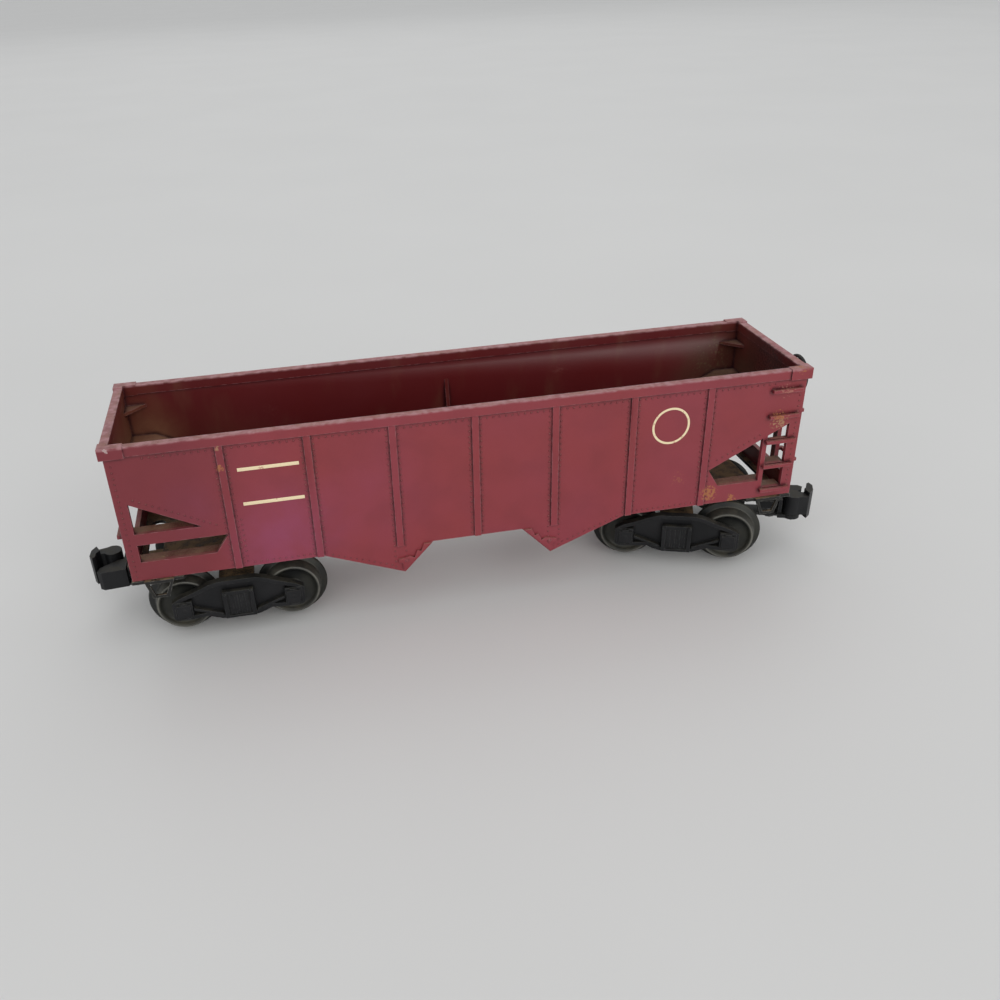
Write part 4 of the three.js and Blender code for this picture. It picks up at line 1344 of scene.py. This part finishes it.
@dataclass
class Hopper:
    """The moulded body: its rounded shell, rivets, latches and stamped paint."""

    finishes: Finishes
    sheet_y: float = 23.85  # outer face of the side sheets
    sheet_x: float = 106.95  # outer face of the end sheets
    rib_half: float = 1.05
    rib_pitch: float = 25.02
    rib_count: int = 7
    sill_z: float = 24.4
    bay_x: float = 24.0  # the foot of a bay
    bay_z: float = 14.4
    bay_head_x: float = 49.0
    ridge_foot_x: float = 14.5
    slope: float = 0.5177  # rise of the slope sheets' edge over its run
    rim_z: float = 66.0
    rim_round: float = 0.45  # on the rim's top edges
    edge_round: float = 0.16  # on every other edge
    rivet_r: float = 0.36
    rivet_rise: float = 0.25
    rivet_gap: float = 1.9
    crowded: float = 0.55  # share of that gap at which two heads are too near
    beside_rib: float = 0.75  # from a rib's edge to its row
    under_rim: float = 1.3
    over_foot: float = 1.2
    from_corner: float = 1.6
    flap_t: float = 0.8
    paint_t: float = 0.06
    root: float = 0.05  # how far paint reaches into the sheet
    bars: tuple = ((-70.9, -53.0, 57.5), (-70.7, -52.6, 46.1))  # x from, x to, z
    bar_half: float = 0.55
    ring_r: tuple = (5.5, 6.2)
    ring_at: tuple = (62.6, 54.6)  # x, z

    def build(self) -> None:
        """Builds and places every piece of the body."""
        self._shell()
        self._rivets()
        self._latches()
        self._bars()
        self._rings()

    def _shell(self) -> None:
        """Places the frame's body with its edges rounded."""
        shape = Shape.of_node("hopper_body")
        top = self.rim_z + 2.9
        shape.soften(self.rim_round, 40.0, 3, lambda edge: min(v.co.z for v in edge.verts) > top)
        shape.soften(self.edge_round, 40.0, 2)
        obj = evened(shape.made("moulded_body", 42.0))
        maroon = self.finishes.by_slot["maroon_plastic"]
        placed(obj, "car", maroon, ("hopper_body",))

    def _bottom(self, x: float) -> float:
        """Lowest height of a side sheet.

        Args:
            x: the place along the car.

        Returns:
            The height there.
        """
        along = abs(x)
        drop = self.sill_z - self.bay_z
        if self.bay_x <= along < self.bay_head_x:
            return self.bay_z + (along - self.bay_x) * drop / (self.bay_head_x - self.bay_x)
        if self.ridge_foot_x <= along < self.bay_x:
            return self.bay_z + (self.bay_x - along) * drop / (self.bay_x - self.ridge_foot_x)
        return self.sill_z

    def _row(self, start: tuple, end: tuple) -> list:
        """Evenly spaced places from one point to another.

        Args:
            start: the first place.
            end: the last place.

        Returns:
            The places, both ends among them.
        """
        first, last = Vector(start), Vector(end)
        count = max(1, round((last - first).length / self.rivet_gap))
        return [first.lerp(last, i / count) for i in range(count + 1)]

    def _side_rows(self) -> list:
        """The rivets of the -Y side: beside ribs, under the rim, and along the edges.

        Returns:
            Their places as (x, z).
        """
        top = self.rim_z - self.under_rim
        beside = self.rib_half + self.beside_rib
        middle = (self.rib_count - 1) / 2
        ribs = [(i - middle) * self.rib_pitch for i in range(-1, self.rib_count)]
        rows = []
        for x in ribs[1:]:
            for step in (-beside, beside):
                foot = max(self._bottom(x + step), self._bottom(x)) + self.over_foot
                rows.append(((x + step, foot), (x + step, top)))
        rib = ribs[-1]
        doubled = -rib + beside + 1.15
        rows.append(((doubled, self.sill_z + 1.8), (doubled, 41.0)))
        corner = self.sheet_x - self.from_corner
        for x in ribs:
            x0 = x + beside + self.rivet_gap
            x1 = x0 + self.rib_pitch - 2 * (beside + self.rivet_gap)
            rows.append(((max(x0, -corner), top), (min(x1, corner), top)))
        low = self.sill_z + self.over_foot
        for first, last in ((-rib, -rib + self.rib_pitch), (rib - self.rib_pitch, rib)):
            rows.append(((first + beside + 1.3, low), (last - beside - 1.3, low)))
        for side in (-1, 1):
            head = (side * (self.bay_head_x + 1.0), self.sill_z + 1.3)
            rows.append((head, (side * (self.bay_x + 0.4), self.bay_z + 1.9)))
        for x, head in ((-corner, 63.0), (corner, 60.0)):
            rows.append(((x, self.sill_z + 1.4), (x, head)))
        for side, x0, x1 in ((-1, 79.5, 101.5), (1, 79.5, 93.5)):
            rise = [self.sill_z + (x - self.bay_head_x) * self.slope + 0.1 for x in (x0, x1)]
            rows.append(((side * x0, rise[0]), (side * x1, rise[1])))
        return [place for row in rows for place in self._row(*row)]

    def _spaced(self, places: list) -> list:
        """Leaves out places that would run into an earlier one.

        Args:
            places: the places in order.

        Returns:
            Those that are kept.
        """
        kept = []
        least = self.rivet_gap * self.crowded
        for place in places:
            if all((place - other).length > least for other in kept):
                kept.append(place)
        return kept

    def _rivets(self) -> None:
        """Places rows of small rivet heads on both sides and both ends."""
        shape = Shape()
        side = self._spaced(self._side_rows())
        inset = self.sheet_y - 1.8
        low, high = self.sill_z + 1.4, self.rim_z - 1.4
        for turn in (1, -1):
            places = [(turn * x, -turn * self.sheet_y, z) for x, z in side]
            shape.stamp_domes(places, Vector((0, -turn, 0)), self.rivet_r, self.rivet_rise)
            ends = [
                (turn * self.sheet_x, turn * y, z)
                for edge in (-inset, inset)
                for y, z in self._row((edge, low), (edge, high))
            ]
            shape.stamp_domes(ends, Vector((turn, 0, 0)), self.rivet_r, self.rivet_rise)
        obj = shape.outward().made("rivet_heads", 60.0)
        placed(obj, "car", self.finishes.rivets)

    def _latches(self) -> None:
        """Places the stepped flap and its pin on the inner edge of each bay's foot."""
        shape = Shape()
        for turn in (1, -1):
            y = -turn * self.sheet_y
            for side in (1, -1):
                foot = side * self.bay_x
                outline = [(foot - side * u, self.bay_z + v) for u, v in FLAP]
                shape.plate(outline, y - turn * self.flap_t, y + turn * 0.1, 0.14)
                pin = (foot - side * 0.6, y - turn * (self.flap_t - 0.05), self.bay_z + 4.6)
                shape.dome(pin, (0, -turn, 0), 0.6, 0.5, 12)
        obj = shape.outward().made("bay_latches", 50.0)
        placed(obj, "car", self.finishes.by_slot["maroon_plastic"])

    def _bars(self) -> None:
        """Places two plain painted bars on each side's second panel."""
        shape = Shape()
        for turn in (1, -1):
            ys = sorted(-turn * (self.sheet_y + t) for t in (-self.root, self.paint_t))
            for x0, x1, z in self.bars:
                xs = sorted((turn * x0, turn * x1))
                low, high = zip(xs, ys, (z - self.bar_half, z + self.bar_half))
                shape.block(low, high, 0.02)
        placed(shape.outward().made("painted_bars", 50.0), "car", self.finishes.paint)

    def _rings(self) -> None:
        """Places a plain painted ring on each side's panel nearest the ladder."""
        shape = Shape()
        inner, outer = self.ring_r
        x, z = self.ring_at
        for turn in (1, -1):
            near, far = (-turn * (self.sheet_y + t) for t in (self.paint_t, -self.root))
            profile = [(inner, near), (outer, near), (outer, far), (inner, far), (inner, near)]
            shape.spun(profile, Axis.Y, (turn * x, 0, z), 64)
        placed(shape.outward().made("painted_rings", 50.0), "car", self.finishes.paint)


# ------------------------------------------------------------------ trucks


@dataclass
class Truck:
    """One truck: wheels, axles and cast side frames, built about its pivot."""

    end: End
    finishes: Finishes
    wheel_back: float = 15.0
    wheel_face: float = 20.5
    flange_r: float = 11.25
    tread_r: float = 9.1
    axle_r: float = 1.3
    axle_thick_r: float = 2.0  # between the wheels
    bore_gap: float = 0.08
    ring_edge: tuple = (1.0, 0.75)  # the bright ring, inwards from the tread
    frame_y: float = 21.3  # inner face of a side frame
    frame_t: float = 2.5
    frame_rim: float = 1.3
    recess: float = 1.7

    def __post_init__(self) -> None:
        """Reads the pivot, the turn and the axles from the frame's joints."""
        joints = {joint["name"]: joint for joint in frame["joints"]}
        pivot = joints[f"truck_{self.end.value}_swivel"]["pos_m"]
        spin = joints[f"wheel_outer_left_{self.end.value}_spin"]
        across = Vector(spin["axis"]).normalized()
        yaw = math.atan2(-across.x, across.y)
        centre = Vector((pivot[0], pivot[1], 0)) / MM
        self.place = Matrix.Translation(centre) @ Matrix.Rotation(yaw, 4, "Z")
        outer = self.place.inverted() @ (Vector(spin["pos_m"]) / MM)
        self.axle_x = outer.x
        self.axle_z = outer.z
        self.body = f"truck_{self.end.value}"

    def build(self) -> None:
        """Builds and places the truck's wheels, axles and side frames."""
        for place, x in (("outer", self.axle_x), ("inner", -self.axle_x)):
            self._axle(place, x)
            for side in Side:
                self._wheel(place, side, x)
        for side in Side:
            self._side_frame(side)

    def _wheel(self, place: str, side: Side, x: float) -> None:
        """Places one turned wheel, with a dished face and a raised ring at its edge.

        Args:
            place: outer or inner.
            side: the wheel's side of the truck.
            x: its axle's place along the truck.
        """
        back, face, bore = self.wheel_back, self.wheel_face, self.axle_r + self.bore_gap
        flange, tread = self.flange_r, self.tread_r
        profile = [
            (bore, back),
            (flange - 1.1, back),
            (flange - 0.35, back + 0.12),
            (flange - 0.05, back + 0.42),
            (flange, back + 0.7),
            (flange - 0.12, back + 1.0),
            (flange - 0.6, back + 1.3),
            (tread + 0.5, back + 1.55),
            (tread + 0.1, back + 1.85),
            (tread, back + 2.3),
            (tread - 0.45, face - 0.35),
            (tread - 0.6, face - 0.1),
            (tread - 0.85, face),
            (tread - 1.35, face),
            (tread - 1.6, face - 0.15),
            (tread - 1.85, face - 0.55),
            (tread - 2.3, face - 1.0),
            (tread - 3.2, face - 1.25),
            (3.7, face - 1.2),
            (3.1, face - 0.9),
            (2.85, face - 0.35),
            (2.65, face + 0.1),
            (2.3, face + 0.2),
            (bore, face + 0.2),
            (bore, back),
        ]
        turned = [(r, side.value * y) for r, y in profile]
        shape = Shape().spun(turned, Axis.Y, (x, 0, self.axle_z), 72).outward()
        node = f"wheel_{place}_{side.word}_{self.end.value}"
        obj = shape.made(f"{node}_turned", 40.0, self.place)
        self._polish(obj, x)
        placed(obj, node, self.finishes.by_slot["wheel_metal"], (node,))

    def _polish(self, obj: bpy.types.Object, x: float) -> None:
        """Marks how bright running and handling have rubbed a wheel.

        Args:
            obj: the wheel.
            x: its axle's place along the truck.
        """
        bright = obj.data.attributes.new("polish", "FLOAT", "POINT")
        back = self.place.inverted()
        low, high = (self.tread_r - edge for edge in self.ring_edge)
        for vert in obj.data.vertices:
            at = back @ (vert.co / MM)
            radius = math.hypot(at.x - x, at.z - self.axle_z)
            if low < radius < high and abs(at.y) > self.wheel_face - 0.12:
                bright.data[vert.index].value = 0.85
            elif self.tread_r - 0.65 < radius < self.tread_r + 0.3:
                bright.data[vert.index].value = 0.18

    def _axle(self, place: str, x: float) -> None:
        """Places one turned axle, thick between its wheels, with rounded ends.

        Args:
            place: outer or inner.
            x: the axle's place along the truck.
        """
        end, shoulder = self.frame_y + 1.4, self.wheel_back - 0.3
        thin, thick, edge = self.axle_r, self.axle_thick_r, 0.2
        half = [
            (thick, shoulder - edge),
            (thick - edge, shoulder),
            (thin, shoulder),
            (thin, end - edge),
            (thin - edge, end),
            (0.0, end),
        ]
        profile = [(r, -y) for r, y in reversed(half)] + half
        shape = Shape().spun(profile, Axis.Y, (x, 0, self.axle_z), 40).outward()
        node = f"axle_{place}_{self.end.value}"
        obj = shape.made(f"{node}_turned", 40.0, self.place)
        placed(obj, self.body, self.finishes.by_slot["axle_steel"], (node,))

    def _outline(self) -> list:
        """The side frame's edge.

        Returns:
            Its (x, z) points in order.
        """
        a = self.axle_x
        half = [
            (5.4, -4.9),
            (7.6, -4.2),
            (9.8, -3.2),
            (a - 2.6, -3.6),
            (a + 2.6, -3.6),
            (a + 3.45, -2.7),
            (a + 3.45, 2.9),
            (a + 1.05, 4.4),
            (a - 4.35, 6.4),
            (8.6, 8.1),
            (5.6, 8.8),
        ]
        raised = [(x, self.axle_z + z) for x, z in half]
        return [(-x, z) for x, z in reversed(raised)] + raised

    def _side_frame(self, side: Side) -> None:
        """Places one cast side frame with its spring box and journal boxes.

        Args:
            side: the side frame's side of the truck.
        """
        shape = Shape()
        inner = -self.frame_y
        outer = inner - self.frame_t
        front = shape.plate(self._outline(), outer, inner, 0.0)
        shape.sink(front, self.frame_rim, (0, self.recess, 0))
        shape.soften(0.22, 35.0, 2)
        self._spring_box(shape, outer)
        for x in (-self.axle_x, self.axle_x):
            self._journal(shape, x, outer)
            self._brace(shape, x, outer)
        node = f"side_frame_{side.word}_{self.end.value}"
        turn = Matrix.Rotation(math.pi if side is Side.LEFT else 0.0, 4, "Z")
        obj = evened(shape.outward().made(f"{node}_cast", 38.0, self.place @ turn))
        iron = self.finishes.by_slot["black_casting"]
        placed(obj, self.body, iron, (node,))

    def _spring_box(self, shape: Shape, outer: float) -> None:
        """Adds posts, seat, cast springs and bolt heads at the middle of a side frame.

        Args:
            shape: the side frame.
            outer: y of its outer face.
        """
        low, high, back = self.axle_z - 4.9, self.axle_z + 4.1, outer + 1.6
        for x in (-4.2, 4.2):
            shape.block((x - 0.65, outer - 0.5, low), (x + 0.65, back, high + 0.9), 0.2)
            shape.hex_head((x, outer - 0.4, high + 0.1), (0, -1, 0), 0.6, 0.35)
        shape.block((-4.85, outer - 0.45, low), (4.85, back, low + 1.0), 0.2)
        shape.block((-4.0, outer - 0.25, high - 0.5), (4.0, back, high + 0.8), 0.2)
        shape.block((-3.8, outer + 0.1, low + 0.5), (3.8, back, high), 0.12)
        for x in (-2.4, -0.8, 0.8, 2.4):
            coil = (x + 0.42, outer + 0.5, high - 0.7)
            shape.block((x - 0.42, outer - 0.08, low + 1.1), coil, 0.14)

    def _journal(self, shape: Shape, x: float, outer: float) -> None:
        """Adds the journal box round one axle end, with its lid, hinge and lip.

        Args:
            shape: the side frame.
            x: the axle's place along the truck.
            outer: y of the side frame's outer face.
        """
        z = self.axle_z
        face = outer - 0.6
        shape.block((x - 2.75, face + 0.4, z - 3.1), (x + 2.75, outer + 1.6, z + 3.2), 0.5)
        shape.block((x - 2.15, face - 0.05, z - 2.5), (x + 2.15, face + 0.6, z + 2.2), 0.22)
        shape.block((x - 1.1, face - 0.1, z + 2.2), (x + 1.1, face + 0.7, z + 2.9), 0.2)
        shape.block((x - 1.5, face - 0.08, z - 2.95), (x + 1.5, face + 0.5, z - 2.5), 0.12)
        shape.dome((x, face - 0.02, z - 0.1), (0, -1, 0), 1.0, 0.12, 16)

    def _brace(self, shape: Shape, x: float, outer: float) -> None:
        """Adds the slanting rib that runs from a journal box down to the spring seat.

        Args:
            shape: the side frame.
            x: the axle's place along the truck.
            outer: y of the side frame's outer face.
        """
        side = 1 if x > 0 else -1
        z, box = self.axle_z, abs(x) - 2.9
        outline = [(5.2, z - 4.0), (box, z - 0.6), (box, z + 0.3), (5.2, z - 3.0)]
        points = [(side * px, pz) for px, pz in outline]
        shape.plate(points, outer + 0.1, outer + 1.7, 0.2)


# ------------------------------------------------------------------ carried-over pieces


@dataclass(frozen=True)
class Softened:
    """A frame node shown as a merged copy with its edges rounded."""

    node: str
    width: float
    angle: float = 40.0
    smooth: float = 42.0

    def build(self, finishes: Finishes) -> None:
        """Makes the copy and stands it in the node's place.

        Args:
            finishes: the car's finishes.
        """
        shape = Shape.of_node(self.node).soften(self.width, self.angle, 2)
        slot = slot_of_node(self.node)
        dusty = self.node.startswith(("end_frame", "truck_bolster"))
        material = finishes.dusty_steel if dusty else finishes.by_slot[slot]
        obj = evened(shape.made(f"{self.node}_finished", self.smooth))
        placed(obj, body_of_node(self.node), material, (self.node,))


@dataclass
class BrakeWheel:
    """The small wire brake wheel."""

    finishes: Finishes
    ring_r: float = 5.85
    wire_r: float = 0.6
    wire_sides: int = 12
    spokes: int = 5
    spoke_middle: float = 3.5
    spoke_length: float = 4.5

    def build(self) -> None:
        """Places a round ring, spokes and a domed hub about the frame's axis."""
        low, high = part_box("brake_wheel")
        centre = (low + high) / 2 / MM
        shape = Shape()
        turns = [i * math.tau / self.wire_sides for i in range(self.wire_sides)]
        wire = [
            (self.ring_r + self.wire_r * math.cos(turn), self.wire_r * math.sin(turn))
            for turn in turns
        ]
        shape.spun([*wire, wire[0]], Axis.X, centre, 48)
        hub = [(0.78, -0.8), (1.3, -0.8), (1.5, -0.5), (1.5, 0.45), (1.25, 0.8), (0.78, 0.8)]
        shape.spun([*hub, hub[0]], Axis.X, centre, 28)
        for i in range(self.spokes):
            turn = Matrix.Rotation(i * math.tau / self.spokes, 4, "X")
            out = Matrix.Translation((0, 0, self.spoke_middle))
            bmesh.ops.create_cone(
                shape.bm,
                cap_ends=True,
                segments=10,
                radius1=0.5,
                radius2=0.4,
                depth=self.spoke_length,
                matrix=Matrix.Translation(centre) @ turn @ out,
            )
        obj = shape.outward().made("brake_wheel_cast", 40.0)
        steel = self.finishes.by_slot["black_steel"]
        placed(obj, "brake_wheel", steel, ("brake_wheel",))


def soften_the_rest(finishes: Finishes) -> None:
    """Rounds the edges of every frame node that has no piece of its own.

    Args:
        finishes: the car's finishes.
    """
    replaced = {
        node
        for obj in bpy.context.scene.objects
        for node in list(obj.get("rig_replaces", []))
    }
    widths = {"coupler_head": 0.3, "knuckle": 0.3, "truck_bolster": 0.15, "end_frame": 0.14}
    for node in sorted(set(frame["nodes"]) - replaced):
        kind = node.rsplit("_", 1)[0]
        Softened(node, widths.get(kind, 0.1)).build(finishes)


# ------------------------------------------------------------------ setting


# Name, place, side, watts and colour of each light.
LIGHTS = (
    ("key", (0.9, -2.4, 1.2), 2.2, 29.0, (1.0, 0.985, 0.96)),
    ("fill", (-1.8, -1.8, 1.3), 2.0, 10.0, (0.98, 0.99, 1.0)),
    ("back", (0.3, 2.3, 2.0), 2.4, 8.0, (1.0, 1.0, 1.0)),
)


@dataclass(frozen=True)
class Setting:
    """Floor, light and camera."""

    lit: tuple = (0.0, 0.0, 0.03)  # what the lights point at
    room: tuple = rgb(228, 229, 230)
    room_strength: float = 0.86
    floor_half: float = 9000.0
    floor_colours: tuple = (rgb(211, 211, 210), rgb(217, 217, 216))
    camera_at: tuple = (-53.257, -279.295, 184.06)
    right: tuple = (0.97993, -0.19601, -0.03631)
    down: tuple = (-0.13067, -0.49402, -0.85958)
    lens: float = 34.506
    shift: tuple = (0.0468, 0.0221)

    def build(self) -> None:
        """Makes the floor, the lights and the camera."""
        self._floor()
        self._lights()
        world = bpy.data.worlds.new("soft_room")
        world.use_nodes = True
        background = world.node_tree.nodes["Background"]
        background.inputs["Color"].default_value = self.room
        background.inputs["Strength"].default_value = self.room_strength
        bpy.context.scene.world = world
        bpy.context.scene.view_settings.view_transform = "Standard"
        self._camera()

    def _floor(self) -> None:
        """Adds a plain pale floor, very slightly uneven."""
        shape = Shape()
        bmesh.ops.create_grid(shape.bm, x_segments=1, y_segments=1, size=self.floor_half)
        floor = shape.made("floor")
        material, graph, surface = Finish("pale_floor").start()
        cloud = graph.noise(6.0)
        graph.feed(surface.inputs["Base Color"], graph.mix(cloud, *self.floor_colours))
        surface.inputs["Roughness"].default_value = 0.6
        floor.data.materials.append(material)

    def _lights(self) -> None:
        """Adds the soft square lights."""
        for name, at, size, power, colour in LIGHTS:
            data = bpy.data.lights.new(name, "AREA")
            data.size = size
            data.energy = power
            data.color = colour
            obj = bpy.data.objects.new(name, data)
            bpy.context.scene.collection.objects.link(obj)
            obj.location = at
            aim = Vector(self.lit) - Vector(at)
            obj.rotation_euler = aim.to_track_quat("-Z", "Y").to_euler()

    def _camera(self) -> None:
        """Adds the camera and makes it the scene's."""
        data = bpy.data.cameras.new("camera")
        data.lens = self.lens
        data.sensor_width = 36.0
        data.shift_x, data.shift_y = self.shift
        data.clip_start, data.clip_end = 0.01, 20.0
        camera = bpy.data.objects.new("camera", data)
        bpy.context.scene.collection.objects.link(camera)
        right = Vector(self.right).normalized()
        up = -Vector(self.down).normalized()
        back = right.cross(up).normalized()
        turn = Matrix((right, up, back)).transposed().to_4x4()
        camera.matrix_world = Matrix.Translation(Vector(self.camera_at) * MM) @ turn
        bpy.context.scene.camera = camera


def main() -> None:
    """Builds the car in order: setting, body, trucks, brake wheel and the rest."""
    logging.basicConfig(level=logging.INFO, format="%(name)s %(message)s")
    Setting().build()
    finishes = Finishes.build()
    Hopper(finishes).build()
    for end in End:
        Truck(end, finishes).build()
    BrakeWheel(finishes).build()
    soften_the_rest(finishes)


if __name__ == "__main__":
    main()
